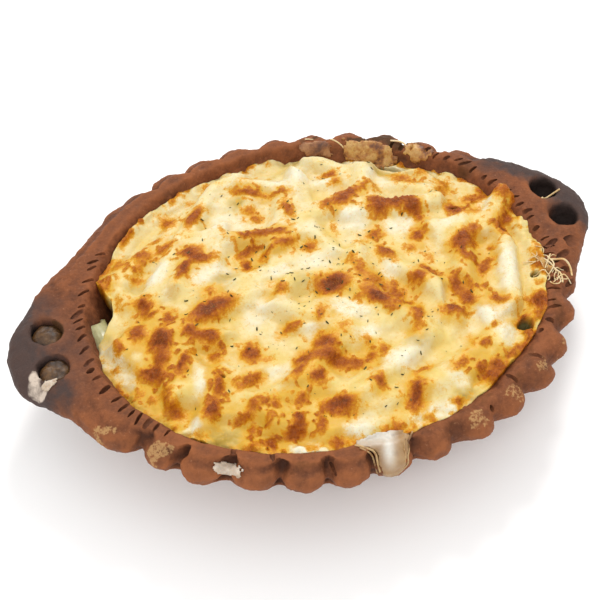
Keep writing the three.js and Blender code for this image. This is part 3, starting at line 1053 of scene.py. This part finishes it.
# Fat that pooled; (64, 58) is a gap under the back brim, painted olive as shade
OIL_AND_SHADE = [
    (-68, -63, 9, 4, -8, 1), (-38, 15, 6, 4, 20, 0.8), (-14, 63, 4, 4, 0, 0.9), (30, -51, 6, 3, 0, 0.7),
    (36, -84, 6, 3, 0, 0.9), (-21, 19, 5, 3, 0, 0.7), (-76, 31, 5, 3, 0, 0.5), (-40, -56, 6, 3, 0, 0.6),
    (84, 32, 6, 3, -20, 0.4), (75, 44, 6, 3, 0, 0.3), (-14, 22, 5, 3, 0, 0.5), (-5, 0, 5, 3, 0, 0.5),
    (-96, -28, 3, 8, 0, 0.5), (64, 58, 8, 3, -30, 0.8), (-99, 8, 4, 8, 0, 0.6),
    (-62, -71, 9, 2, -20, 0.8),
]
# Open ends of tubes and a gap under the back brim: sunk as dimples, and painted dark olive as shade
OPENINGS = [
    (80.5, -57.5, 3.7, 3.5, 0, 1), (100, -32, 2.2, 1.9, 0, 0.9), (68, 62, 8.0, 2.2, -40, 0.55),
    (84, 20, 1.6, 1.2, 0, 0.7), (-58, -37, 1.2, 1.0, 0, 0.5),
]
OPENING_DEPTH = 4.0 * MM
# How strongly the very edge browned, by direction in degrees
EDGE_CRUST = ([0, 60, 130, 165, 185, 200, 250, 290, 360], [1, 0.8, 1, 0.6, 0.15, 0.35, 0.45, 0.8, 1])


# %% [markdown]
# ## Mark the cheese
#
# The lists become numbers on the cheese's points. Gold spreads around every browned place, the very edge
# browns in patches, and the back of the dish stayed palest.

# %% Mark the cheese
def grown(places, margin, strength):
    return [(x, y, a + margin, b + margin, turn, strength * power) for x, y, a, b, turn, power in places]


def mark_surface(piece):
    flat = points_of(piece).copy()
    flat[:, 2] = 0
    fray = noise_field(flat, 6 * MM) * 1.5 + noise_field(flat, 2.1 * MM, 5) * 1.1
    x = flat[:, 0] / MM + fray[:, 0]
    y = flat[:, 1] / MM + fray[:, 1]
    mottle = noise_field(flat, 9 * MM, 11)[:, 0]
    fine = noise_field(flat, 3.2 * MM, 17)[:, 0]
    grains = noise_field(flat, 2.6 * MM, 29)[:, 0]
    # The very edge browned in patches
    angle = np.arctan2(flat[:, 1], flat[:, 0] - MIDDLE_X)
    share = np.hypot(flat[:, 0] - MIDDLE_X, flat[:, 1]) / wall_at(angle)
    crust = np.clip((share - 0.962) / 0.03, 0, 1) * np.clip(0.35 + 1.6 * mottle + 0.8 * fine, 0, 1)
    crust *= np.interp(np.mod(np.degrees(angle), 360), *EDGE_CRUST)
    # Gold spread around every browned place, but not over the creamy ones
    halo = strength_at(grown(BROWNED_AND_SHADE, 3.6, 0.8), x, y, 0.40, 1.40)
    halo = halo * (1 - 0.75 * strength_at(CREAMY, x, y, 0.5, 1.3))
    # The back stayed palest; the left end and the front took the most colour
    far = np.interp(y, (-60, -30, 0, 45), (-0.14, -0.02, 0, 0.22)) - np.interp(x, (-80, -40), (0.14, 0))
    small_spots = 0.62 * np.clip((grains - 0.16) / 0.22, 0, 1) * np.clip(halo * 1.5, 0, 1)
    browned = np.maximum(np.maximum(strength_at(BROWNED_AND_SHADE, x, y, 0.38, 1.5), 0.7 * crust), small_spots)
    return {
        "browning_and_shade": np.clip(browned + 0.08 * fine, 0, 1),
        "halo": np.clip(halo - 0.5 * far + 0.35 * mottle + 0.12 * fine + 0.8 * crust, 0, 1),
        "cream": np.clip(strength_at(CREAMY, x, y, 0.5, 1.5) + 0.26 + far + 0.5 * mottle, 0, 1),
        "oil_and_shade": np.clip(strength_at(OIL_AND_SHADE, x, y, 0.4, 1.6), 0, 1),
        "opening_and_shade": strength_at(OPENINGS, flat[:, 0] / MM + 0.3 * fray[:, 0], flat[:, 1] / MM, 0.8, 1.15),
    }


marks = mark_surface(cheese)
for name, values in marks.items():
    store(cheese, name, values)
print("browned share:", round(float((marks["browning_and_shade"] > 0.5).mean()), 2))

# %% [markdown]
# ## Blisters, lumps and a thick edge
#
# A browned place is a blister that rose and dried, so it stands a little proud and has a rough, bubbly
# skin. The rest has soft lumps. Open ends of tubes are dimples. The sheet's edge is then pulled down and
# closed, so that the cheese is a solid slab.

# %% Raise the blisters and close the slab
def group_from(piece, name, values):
    group = piece.vertex_groups.new(name=name)
    for i, value in enumerate(values):
        if value > 0.01:
            group.add([i], float(value), "REPLACE")
    return group


def keep_low(piece, knee, top):
    # Bends what rises over the knee, so that nothing passes the top
    points = points_of(piece)
    over = np.maximum(points[:, 2] - knee, 0)
    points[:, 2] = np.minimum(points[:, 2], knee) + (top - knee) * np.tanh(over / (top - knee))
    set_points(piece, points)


def raise_blisters(piece, browning_and_shade):
    points = points_of(piece)
    rise = np.clip((browning_and_shade - 0.25) / 0.5, 0, 1)
    rise = rise * rise * (3 - 2 * rise)
    points[:, 2] += 1.1 * MM * rise
    set_points(piece, points)
    group_from(piece, "blistered", np.clip((browning_and_shade - 0.3) / 0.4, 0, 1))
    bubbles = bpy.data.textures.new("bubbles", "VORONOI")
    bubbles.noise_scale = 2.3 * MM
    apply_modifier(
        piece, "DISPLACE", texture=bubbles, vertex_group="blistered", strength=-1.8 * MM, mid_level=0.4
    )
    push_lumps(piece, "soft_lumps", 8 * MM, 1.6 * MM)
    push_lumps(piece, "small_lumps", 2.4 * MM, 0.45 * MM)
    keep_low(piece, 54.5 * MM, 57.4 * MM)


def sink_openings(piece, opening_and_shade):
    points = points_of(piece)
    depth = np.clip(opening_and_shade / 0.9, 0, 1)
    points[:, 2] -= OPENING_DEPTH * depth * depth * (3 - 2 * depth)
    set_points(piece, points)


def close_slab(piece, bottom):
    with editing(piece):
        bpy.ops.mesh.region_to_loop()
        bpy.ops.mesh.extrude_region_move(TRANSFORM_OT_translate={"value": (0, 0, -1.5 * MM)})
        bpy.ops.mesh.extrude_region_move(TRANSFORM_OT_translate={"value": (0, 0, -3 * MM)})
        bpy.ops.transform.resize(value=(1, 1, 0), center_override=(0, 0, bottom))
        bpy.ops.mesh.edge_face_add()
        bpy.ops.mesh.quads_convert_to_tris()
        bpy.ops.mesh.select_all(action="SELECT")
        bpy.ops.mesh.normals_make_consistent(inside=False)


raise_blisters(cheese, marks["browning_and_shade"])
sink_openings(cheese, marks["opening_and_shade"])
close_slab(cheese, 38 * MM)
# Painted shade: how deep each point lies in a hollow of the cheese
store(cheese, "hollow_shade", np.clip(crease_depth(cheese, 40, 0.7 * MM) * 0.8 + 0.25, 0, 1))
print("cheese:", triangles(cheese), "triangles")

# %% [markdown]
# ## The cheese's finish
#
# The colour is built as the oven built it: cream, gold in a halo around each browned place, and toast
# that darkens to brown in the middle. The hollows are mixed toward a darker yellow as painted shade.
# Fine noise is added to the marks before they pick a colour, which gives every spot a grainy edge. A
# little light passes under the surface, as in real cheese.

# %% Finish the cheese
def cheese_material():
    finish = Finish("browned_cheese")
    fine = finish.noise(850, 6, 0.65)
    speckle = finish.noise(2200, 3, 0.6)
    cloud = finish.noise(110, 4, 0.6)
    cheese_grain = finish.noise(330, 4, 0.6)

    def rough_edge(mark, first, second):
        shift = finish.math("MULTIPLY", finish.math("SUBTRACT", fine, 0.5), first)
        grain = finish.math("MULTIPLY", finish.math("SUBTRACT", speckle, 0.5), second)
        return finish.math("ADD", finish.math("ADD", mark, shift), grain)

    cream = finish.mix(finish.mark("cream"), rgb(232, 206, 122), rgb(240, 237, 214))
    soft = finish.ramp(cloud, (0.35, rgb(224, 192, 102)), (0.65, rgb(234, 222, 174)))
    # painted shade: the hollows are mixed toward a darker yellow
    low = finish.math("MULTIPLY", finish.mark("hollow_shade"), 0.6)
    pale = finish.mix(low, finish.mix(0.2, cream, soft), rgb(230, 190, 86))
    # olive yellow for pooled fat, and painted shade in the gap under the back brim
    with_oil_and_shade = finish.mix(finish.mark("oil_and_shade"), pale, rgb(184, 152, 60))
    halo = finish.ramp(rough_edge(finish.mark("halo"), 0.4, 0.1), (0.18, BLACK), (0.56, WHITE))
    gold = finish.mix(cloud, rgb(226, 182, 56), rgb(216, 158, 30))
    golden = finish.mix(finish.math("MULTIPLY", halo, 0.85), with_oil_and_shade, gold)
    browning_and_shade = rough_edge(finish.mark("browning_and_shade"), 0.8, 0.45)
    toast = finish.ramp(
        browning_and_shade,
        (0.08, rgb(234, 194, 80)),
        (0.26, rgb(224, 162, 34)),
        (0.44, rgb(206, 130, 14)),
        (0.62, rgb(182, 98, 10)),
        (0.82, rgb(154, 72, 6)),
        (1.00, rgb(118, 54, 8)),
    )
    # Painted highlight: light specks in the browned places stand for glints
    glint = finish.math("MULTIPLY", finish.ramp(speckle, (0.56, BLACK), (0.72, WHITE)), 0.7)
    with_painted_glints = finish.mix(glint, toast, rgb(232, 150, 60))
    baked_skin = finish.mix(finish.ramp(browning_and_shade, (0.04, BLACK), (0.30, WHITE)), golden, with_painted_glints)
    # painted shade: the openings are coloured dark olive
    finish.set("Base Color", finish.mix(finish.mark("opening_and_shade"), baked_skin, rgb(92, 84, 40)))
    finish.set("Roughness", finish.ramp(browning_and_shade, (0.2, grey(0.44)), (0.8, grey(0.36))))
    finish.scatter(0.2, (1.0, 0.6, 0.25), 2.0 * MM)
    finish.set("Specular IOR Level", 0.22)
    baked = finish.ramp(finish.mark("browning_and_shade"), (0.25, BLACK), (0.60, WHITE))
    crackle = finish.math("MULTIPLY", baked, fine)
    finish.bumps((cheese_grain, 0.35, 0.9 * MM), (crackle, 0.9, 0.8 * MM), (speckle, 0.08, 0.08 * MM))
    return finish.material


finish_piece(cheese, cheese_material(), "browned_cheese", "cheese_crust")
bpy.data.objects.remove(heap)
cheese_tree = tree_of(cheese)

# %% [markdown]
# ## Pasta and sauce under the cheese
#
# The filling shows only where the cheese shrank back or tore. It is a lumpy mass in a pale sauce, made
# from the CAD filling with a voxel remesh and clouds, and pressed down wherever it would come through the
# cheese. One real tube lies in the gap at the left end, where it can be seen.

# %% Make the filling and the tube that shows
UNDER_CHEESE = 1.4 * MM
LEFT_TUBE = Vector((-97.5, 1, 37.2)) * MM
LEFT_TUBE_TURN = (0, math.radians(-7), math.radians(95))


def sauce_material():
    finish = Finish("pale_sauce")
    cloud = finish.noise(90, 5, 0.6)
    fine = finish.noise(700, 4, 0.6)
    colours = finish.noise(700, 4, 0.6, output=1)
    tone = finish.ramp(
        cloud,
        (0.32, rgb(150, 128, 84)), (0.48, rgb(196, 180, 132)),
        (0.60, rgb(220, 208, 164)), (0.72, rgb(232, 224, 190)),
    )
    finish.set("Base Color", finish.mix(0.25, tone, colours, "SOFT_LIGHT"))
    finish.set("Roughness", 0.32)
    finish.scatter(0.25, (1.0, 0.7, 0.35), 2.5 * MM)
    finish.bumps((cloud, 0.3, 1.0 * MM), (fine, 0.2, 0.3 * MM))
    return finish.material


def penne_material():
    finish = Finish("boiled_penne")
    cloud = finish.noise(140, 4, 0.6)
    tone = finish.ramp(
        cloud, (0.35, rgb(168, 162, 112)), (0.55, rgb(196, 192, 146)), (0.70, rgb(216, 208, 160))
    )
    finish.set("Base Color", tone)
    finish.set("Roughness", 0.30)
    finish.scatter(0.3, (1.0, 0.75, 0.4), 2.5 * MM)
    finish.bumps((cloud, 0.25, 0.5 * MM))
    return finish.material


def make_filling():
    filling = merged_copy("pasta_filling", "pasta_in_sauce")
    apply_modifier(filling, "REMESH", mode="VOXEL", voxel_size=2.2 * MM)
    apply_modifier(filling, "SMOOTH", factor=0.5, iterations=6)
    push_lumps(filling, "sauce_lumps", 9 * MM, 2.6 * MM, middle=1.3)
    points = points_of(filling)
    for point in points:
        cheese_height = surface_below(cheese_tree, point[0], point[1])
        if cheese_height > 0:
            point[2] = min(point[2], cheese_height - UNDER_CHEESE)
    set_points(filling, points)
    return filling


def make_left_tube():
    tube = copy_of(penne_model, "penne_left")
    tube.rotation_euler = LEFT_TUBE_TURN
    tube.location = LEFT_TUBE
    settle(tube)
    push_lumps(tube, "boiled_skin", 5 * MM, 0.7 * MM)
    return tube


filling = make_filling()
finish_piece(filling, sauce_material(), "pasta_and_sauce", "pasta_filling")
finish_piece(make_left_tube(), penne_material(), "pasta_and_sauce")
bpy.data.objects.remove(penne_model)
print("filling:", triangles(filling), "triangles")

# %% [markdown]
# ## Spills on the clay
#
# Cheese and sauce ran over the brim at the front, and thin films dried on the clay. A spill is a small
# grid whose outline is nibbled away with noise; it is thrown onto the surface along one direction and
# then thickened.

# %% Drape a spill
SPILL_CELL = 0.55  # mm


def inside_outline(u, v, outline):
    # Counts how often a ray from (u, v) crosses the outline: an odd count means inside
    inside = np.zeros(len(u), dtype=bool)
    for (u0, v0), (u1, v1) in zip(outline, outline[1:] + outline[:1]):
        crosses = (v0 > v) != (v1 > v)
        inside ^= crosses & (u < u0 + (v - v0) * (u1 - u0) / (v1 - v0 + 1e-9))
    return inside


def throw_frame(turn, look):
    look = Vector(look).normalized()
    side = Vector((math.cos(math.radians(turn)), math.sin(math.radians(turn)), 0))
    side = (side - look * side.dot(look)).normalized()
    return look, side, look.cross(side)


def land(start, look):
    # Where a thing thrown from start first meets the clay or the cheese, or None
    hits = [tree.ray_cast(start, look) for tree in (clay_tree, cheese_tree)]
    hits = [hit for hit in hits if hit[0] is not None]
    return min(hits, key=lambda hit: hit[3])[0] if hits else None


def make_spill(name, centre, size, turn, look, thick, seed, skin=0.5, outline=None):
    bpy.ops.object.select_all(action="DESELECT")
    cells = [max(12, int(side / SPILL_CELL)) for side in size]
    bpy.ops.mesh.primitive_grid_add(
        x_subdivisions=cells[0], y_subdivisions=cells[1], size=1, location=(0, 0, 0)
    )
    spill = named(name)
    # Nibble the outline away
    flat = points_of(spill)
    places = [Vector((u * 3.1 + seed, v * 3.1, seed)) for u, v, _ in flat]
    wobble = np.array([noise.fractal(place, 0.6, 2.1, 4) for place in places])
    outside = np.hypot(flat[:, 0], flat[:, 1]) * 2 * (1 + 0.35 * wobble) > 1.0
    if outline is not None:
        outside = ~inside_outline(
            flat[:, 0] * size[0] + 0.8 * wobble, flat[:, 1] * size[1] + 0.8 * np.roll(wobble, 40), outline
        )
    with editing(spill, "DESELECT"):
        pass
    spill.data.vertices.foreach_set("select", outside)
    bpy.ops.object.mode_set(mode="EDIT")
    bpy.ops.mesh.delete(type="VERT")
    bpy.ops.object.mode_set(mode="OBJECT")
    # Throw it: stand the grid square to the direction of the throw, and land each point
    look, side, down = throw_frame(turn, look)
    points = points_of(spill)
    middle = Vector(centre) * MM
    for i, (u, v, _) in enumerate(points):
        start = middle + side * u * size[0] * MM + down * v * size[1] * MM - look * 40 * MM
        place = land(start, look)
        points[i] = place - look * 0.15 * MM if place is not None else start + look * 55 * MM
    set_points(spill, points)
    if sum(polygon.normal.dot(look) for polygon in spill.data.polygons) > 0:
        with editing(spill):
            bpy.ops.mesh.flip_normals()
    apply_modifier(spill, "SMOOTH", factor=0.5, iterations=2)
    apply_modifier(spill, "SOLIDIFY", thickness=thick * MM, offset=1)
    push_lumps(spill, name + "_skin", 2.6 * MM, skin * MM, middle=0.4)
    with editing(spill):
        bpy.ops.mesh.normals_make_consistent(inside=False)
    set_points(spill, np.clip(points_of(spill), CAD_BOX[0], CAD_BOX[1]))
    return spill


def spill_material(name, thin, thick_colour, crust, gloss):
    finish = Finish(name)
    patch = finish.noise(170, 5, 0.65)
    fine = finish.noise(800, 4, 0.65)
    tone = finish.ramp(patch, (0.36, crust), (0.47, thick_colour), (0.60, thin), (0.72, thick_colour))
    shade = finish.ramp(fine, (0.3, (0.72, 0.70, 0.66, 1)), (0.6, WHITE))
    finish.set("Base Color", finish.mix(0.6, tone, shade, "MULTIPLY"))
    finish.set("Roughness", gloss)
    finish.scatter(0.15, (1.0, 0.6, 0.3), 1.5 * MM)
    finish.bumps((patch, 0.5, 1.0 * MM), (fine, 0.4, 0.4 * MM))
    return finish.material


# %% [markdown]
# ## The six spills and the film in front
#
# Chalky flakes lie on the left lug and the front brim, and browned drips on the back brim. In front a
# milky film ran over the brim between two dried edges. The film is thrown from the front, so that it
# wraps down the brim's outer face, and its outline is drawn point by point because its shape is what one
# notices.

# %% Throw the spills
FROM_FRONT = (0.25, 0.60, -0.77)
dried = spill_material("dried_cheese", rgb(182, 130, 84), rgb(146, 94, 58), rgb(104, 64, 42), 0.5)
crusty = spill_material("crusty_cheese", rgb(214, 170, 96), rgb(182, 122, 56), rgb(118, 68, 34), 0.45)
chalky = spill_material("chalky_film", rgb(226, 210, 192), rgb(210, 190, 168), rgb(186, 160, 134), 0.7)
SPILLS = [
    # name, centre (mm), length and width (mm), turn, direction of the throw, thickness, seed, material
    ("residue_chip", (-71, -78, 46), (13, 7), -35, FROM_FRONT, 0.6, 5.0, chalky),
    ("ash_flake", (-128, -9, 50), (9, 5), 25, DOWNWARD, 0.5, 6.0, chalky),
    ("right_residue", (106, -29, 50), (3.5, 12), 10, DOWNWARD, 0.4, 7.0, crusty),
    ("back_drip", (62, 73, 50), (30, 9), -36, DOWNWARD, 0.8, 9.0, crusty),
    ("back_drip_small", (38, 85, 50), (18, 5), -20, DOWNWARD, 0.5, 10.0, dried),
    ("back_drip_right", (84, 62, 50), (16, 7), -48, DOWNWARD, 0.7, 11.0, crusty),
]
# The film that ran over the front brim, and the dried lines along it: millimetres to the right and down
FILM_CENTRE = (-7, -98, 46)
FILM_TURN = -22
FILM_OUTLINE = [
    (-13.5, -5.2), (-8.3, -4.2), (-5.0, -2.3), (-4.1, 2.8), (-2.6, 7.5), (0.2, 10.5), (3.0, 9.6), (6.2, 5.0),
    (8.0, 0.5), (8.6, -5.5), (10.1, -10.1), (2.8, -11.0), (-4.1, -10.4), (-8.3, -9.0), (-13.5, -7.0),
]
FILM_LINES = [
    ([(-14, -5.6), (-8.3, -4.4), (-5.2, -2.4), (-4.4, 2.8), (-3.4, 6.0), (-1.8, 9.0), (1.0, 11.0)], 0.50),
    ([(-12, -4.6), (-8.6, -3.2), (-6.4, -0.6), (-5.6, 3.0), (-4.4, 7.0), (-2.6, 9.6)], 0.38),
    ([(10.6, -10.4), (9.4, -8.0), (8.2, -6.6), (9.2, -3.6), (8.0, -0.6), (8.4, 2.4), (6.4, 4.6), (5.0, 8.4),
      (1.0, 11)], 0.42),
    ([(7.4, -7.6), (6.2, -4.4), (7.4, -1.4), (6.8, 1.6)], 0.30),
]


def throw_spills():
    for *row, material in SPILLS:
        finish_piece(make_spill(*row), material, "browned_cheese")


def film_material():
    # White where it is thick, the clay's brown where it is thin
    finish = Finish("milky_film")
    patch = finish.noise(260, 5, 0.6)
    fine = finish.noise(900, 4, 0.6)
    thin = finish.mix(patch, rgb(140, 98, 60), rgb(196, 164, 118))
    white = finish.mix(fine, rgb(214, 206, 192), rgb(238, 234, 224))
    finish.set("Base Color", finish.mix(finish.mark("thick"), thin, white))
    finish.set("Roughness", 0.36)
    finish.set("Specular IOR Level", 0.3)
    finish.scatter(0.15, (1.0, 0.7, 0.5), 1.5 * MM)
    finish.bumps((patch, 0.4, 0.8 * MM), (fine, 0.2, 0.3 * MM))
    return finish.material


def make_film():
    film = make_spill(
        "overflow_film", FILM_CENTRE, (30, 26), FILM_TURN, FROM_FRONT, 0.4, 1.0,
        skin=0.2, outline=FILM_OUTLINE,
    )
    _, side, down = throw_frame(FILM_TURN, FROM_FRONT)
    from_centre = (points_of(film) - np.array(FILM_CENTRE) * MM) / MM
    right, below = from_centre @ np.array(side), from_centre @ np.array(down)
    band = 0.95 * np.exp(-(((right - 0.3 - 0.06 * below) / 2.6) ** 2)) * np.clip((6 - below) / 8, 0, 1)
    top = 0.9 * np.clip((-4 - below) / 4, 0, 1) * np.clip((5 - right) / 4, 0, 1)
    store(film, "thick", np.clip(np.maximum(band, top), 0, 1))
    finish_piece(film, film_material(), "browned_cheese")


throw_spills()
make_film()
print("spills:", len(SPILLS), "and the film")

# %% [markdown]
# ## Burned fat in two holes
#
# Fat ran into the left lug's two holes and burned there. Each plug is a squashed sphere with a rough top:
# a hole is round, so the ball's own outline fits it, and only the top shows.

# %% Fill the two holes
burnt = spill_material("burnt_fat", rgb(108, 74, 34), rgb(80, 52, 24), rgb(50, 33, 18), 0.5)
BURNT_FAT = [
    # name, then the middle of its top and its radius (mm)
    ("burnt_fat_upper", -121.7, 20.0, 47.9, 7.2),
    ("burnt_fat_lower", -123.8, -1.2, 48.2, 7.2),
]


def make_plug(name, x, y, top, radius):
    depth = 3.5
    bpy.ops.object.select_all(action="DESELECT")
    bpy.ops.mesh.primitive_uv_sphere_add(segments=40, ring_count=24, radius=1, location=(0, 0, 0))
    plug = named(name)
    plug.scale = (radius * MM, radius * MM, depth * MM)
    plug.location = (x * MM, y * MM, (top - depth) * MM)
    settle(plug)
    push_lumps(plug, name + "_crust", 3 * MM, 1.8 * MM, middle=0.6, depth=3)
    return plug


for row in BURNT_FAT:
    finish_piece(make_plug(*row), burnt, "browned_cheese")
print("plugs of burned fat:", len(BURNT_FAT))

# %% [markdown]
# ## Threads of cheese
#
# Where cheese was pulled off, it left thin curled threads on the clay. Each is a round curve through a
# few points, turned into a mesh. The dried edges of the film in front are curves too, but thrown onto the
# surface. The finest strands at the right wander at random, as grated cheese does when it dries.

# %% Curl the threads
LOWEST_THREAD = 44 * MM


def make_thread(name, line, radius):
    data = bpy.data.curves.new(name, "CURVE")
    data.dimensions = "3D"
    data.bevel_depth = radius * MM
    data.bevel_resolution = 2
    data.resolution_u = 8
    data.use_fill_caps = True
    spline = data.splines.new("NURBS")
    spline.points.add(len(line) - 1)
    spline.use_endpoint_u = True
    spline.order_u = 3
    for point, place in zip(spline.points, line):
        point.co = (*place, 1)
    thread = bpy.data.objects.new(name, data)
    bpy.context.scene.collection.objects.link(thread)
    select_only(thread)
    bpy.ops.object.convert(target="MESH")
    return bpy.context.object


def lay_thread(places, radius):
    # Each place says x, y and how far the thread rises off the ground there (mm)
    line = []
    for x, y, rise in places:
        x, y = x * MM, y * MM
        ground = max(surface_below(clay_tree, x, y), surface_below(cheese_tree, x, y), LOWEST_THREAD)
        line.append(Vector((x, y, ground + (0.9 * radius + rise) * MM)))
    return make_thread("cheese_thread", line, radius)


THREADS = [
    ([(109, -29, 0), (112, -30, 1.2), (115, -32, 1.6), (116.5, -36, 1.2), (115, -40, 0)], 0.50),
    ([(107, -27, 0), (109, -31, 0.8), (108, -35, 1.0), (110, -39, 0.6), (108, -43, 0)], 0.42),
    ([(104, -36, 0), (107, -35, 0.9), (110, -32, 1.0), (109, -27, 0.4)], 0.36),
    ([(106, -41, 0), (109, -39, 0.8), (112, -40, 0.7), (113, -43, 0)], 0.32),
    ([(105, -32, 0), (108, -29, 0.6), (111, -26, 0)], 0.34),
    ([(126, 8, 0), (129, 10, 1.0), (133, 11, 1.4), (137, 10, 0.6)], 0.45),
    ([(74, 73, 0), (77, 71, 0.8), (80, 67, 0.8), (80, 63, 0)], 0.45),
    ([(46, 86, 0), (50, 83, 0.6), (52, 79, 0.4)], 0.38),
    ([(34, 91, 0), (39, 89, 0.5), (45, 88, 0.3)], 0.30),
]


def lay_film_line(places, radius):
    # A line drawn in the plane of the throw, landed on the surface
    look, side, down = throw_frame(FILM_TURN, FROM_FRONT)
    line = []
    for right, below in places:
        start = (Vector(FILM_CENTRE) + side * right + down * below - look * 40) * MM
        place = land(start, look)
        if place is not None:
            line.append(place - look * 0.75 * MM)
    thread = make_thread("film_line", line, radius)
    set_points(thread, np.clip(points_of(thread), CAD_BOX[0], CAD_BOX[1]))
    return thread


def wander(x, y, steps, stride):
    heading = random.uniform(0, math.tau)
    places = [(x, y, 0)]
    for _ in range(steps):
        heading += random.uniform(-1.2, 1.2)
        x += stride * math.cos(heading)
        y += stride * math.sin(heading)
        places.append((x, y, random.uniform(0, 0.9)))
    return places


random.seed(12)
STRANDS = 16
for i in range(STRANDS):
    x = 106 + 2.6 * math.sin(1.3 * i) + random.uniform(-1, 1)
    THREADS.append((wander(x, -22 - 22 * i / STRANDS, 4, 1.7), random.uniform(0.18, 0.30)))
threads = join([lay_thread(places, radius) for places, radius in THREADS], "cheese_threads")
film_lines = join([lay_film_line(places, radius) for places, radius in FILM_LINES], "overflow_lines")
thread_finish = spill_material("pale_thread", rgb(246, 222, 178), rgb(240, 208, 150), rgb(224, 176, 110), 0.4)
finish_piece(threads, thread_finish, "browned_cheese")
line_finish = spill_material("dried_line", rgb(212, 178, 124), rgb(176, 134, 84), rgb(110, 74, 44), 0.45)
finish_piece(film_lines, line_finish, "browned_cheese")
print("threads:", triangles(threads), "triangles")

# %% [markdown]
# ## Herbs
#
# Dried herbs lie on the cheese in small flecks, more of them near the middle. One leaf flake is modelled
# from a thin box, cut once along each side, curled up at its ends and tapered. Each fleck is a copy with
# its own size, turn and tilt, laid square to the cheese below it.

# %% Scatter the herbs
HERB_FLECKS = 340


def make_flake():
    bpy.ops.object.select_all(action="DESELECT")
    bpy.ops.mesh.primitive_cube_add(size=1, location=(0, 0, 0), scale=(1.0, 0.34, 0.12))
    flake = named("herb_flake")
    settle(flake)
    with editing(flake):
        bpy.ops.mesh.subdivide(number_cuts=1)
    points = points_of(flake)
    points[:, 2] += 0.5 * points[:, 0] ** 2
    points[:, 1] *= 1.25 - 1.2 * np.abs(points[:, 0])
    set_points(flake, points)
    return flake


def scatter_herbs():
    random.seed(21)
    flake = make_flake()
    flecks = []
    while len(flecks) < HERB_FLECKS:
        near = random.random() < 0.6
        x = random.gauss(0, 34) if near else random.uniform(-98, 104)
        y = random.gauss(2, 30) if near else random.uniform(-85, 80)
        x, y = x * MM, y * MM
        if math.hypot(x - FOOD_CENTRE_X, y) > 0.9 * float(wall_at(math.atan2(y, x - FOOD_CENTRE_X))):
            continue
        hit = cheese_tree.ray_cast(Vector((x, y, 80 * MM)), DOWNWARD)
        if hit[0] is None:
            continue
        size = random.choice((0.5, 0.6, 0.7, 0.9, 1.1, 1.4, 1.9)) * MM
        copy = copy_of(flake, "fleck")
        copy.scale = (size, size * random.uniform(0.6, 1.1), size)
        turn = hit[1].to_track_quat("Z", "Y").to_euler()
        copy.rotation_euler = (turn.x, turn.y, turn.z)
        copy.rotation_euler.rotate_axis("Z", random.uniform(0, math.tau))
        copy.rotation_euler.rotate_axis("Y", random.uniform(-0.4, 0.4))
        copy.location = hit[0] + hit[1] * 0.10 * MM
        flecks.append(copy)
    bpy.data.objects.remove(flake)
    herbs = join(flecks, "dried_herbs")
    settle(herbs)
    return herbs


def herb_material():
    finish = Finish("dried_herb")
    cloud = finish.noise(260, 3, 0.6)
    finish.set("Base Color", finish.ramp(
        cloud, (0.30, rgb(52, 48, 30)), (0.50, rgb(84, 80, 48)), (0.70, rgb(128, 120, 78))
    ))
    finish.set("Roughness", 0.85)
    finish.set("Specular IOR Level", 0.1)
    finish.bumps((cloud, 0.3, 0.2 * MM))
    return finish.material


herbs = scatter_herbs()
finish_piece(herbs, herb_material(), "browned_cheese")
print("herbs:", triangles(herbs), "triangles")
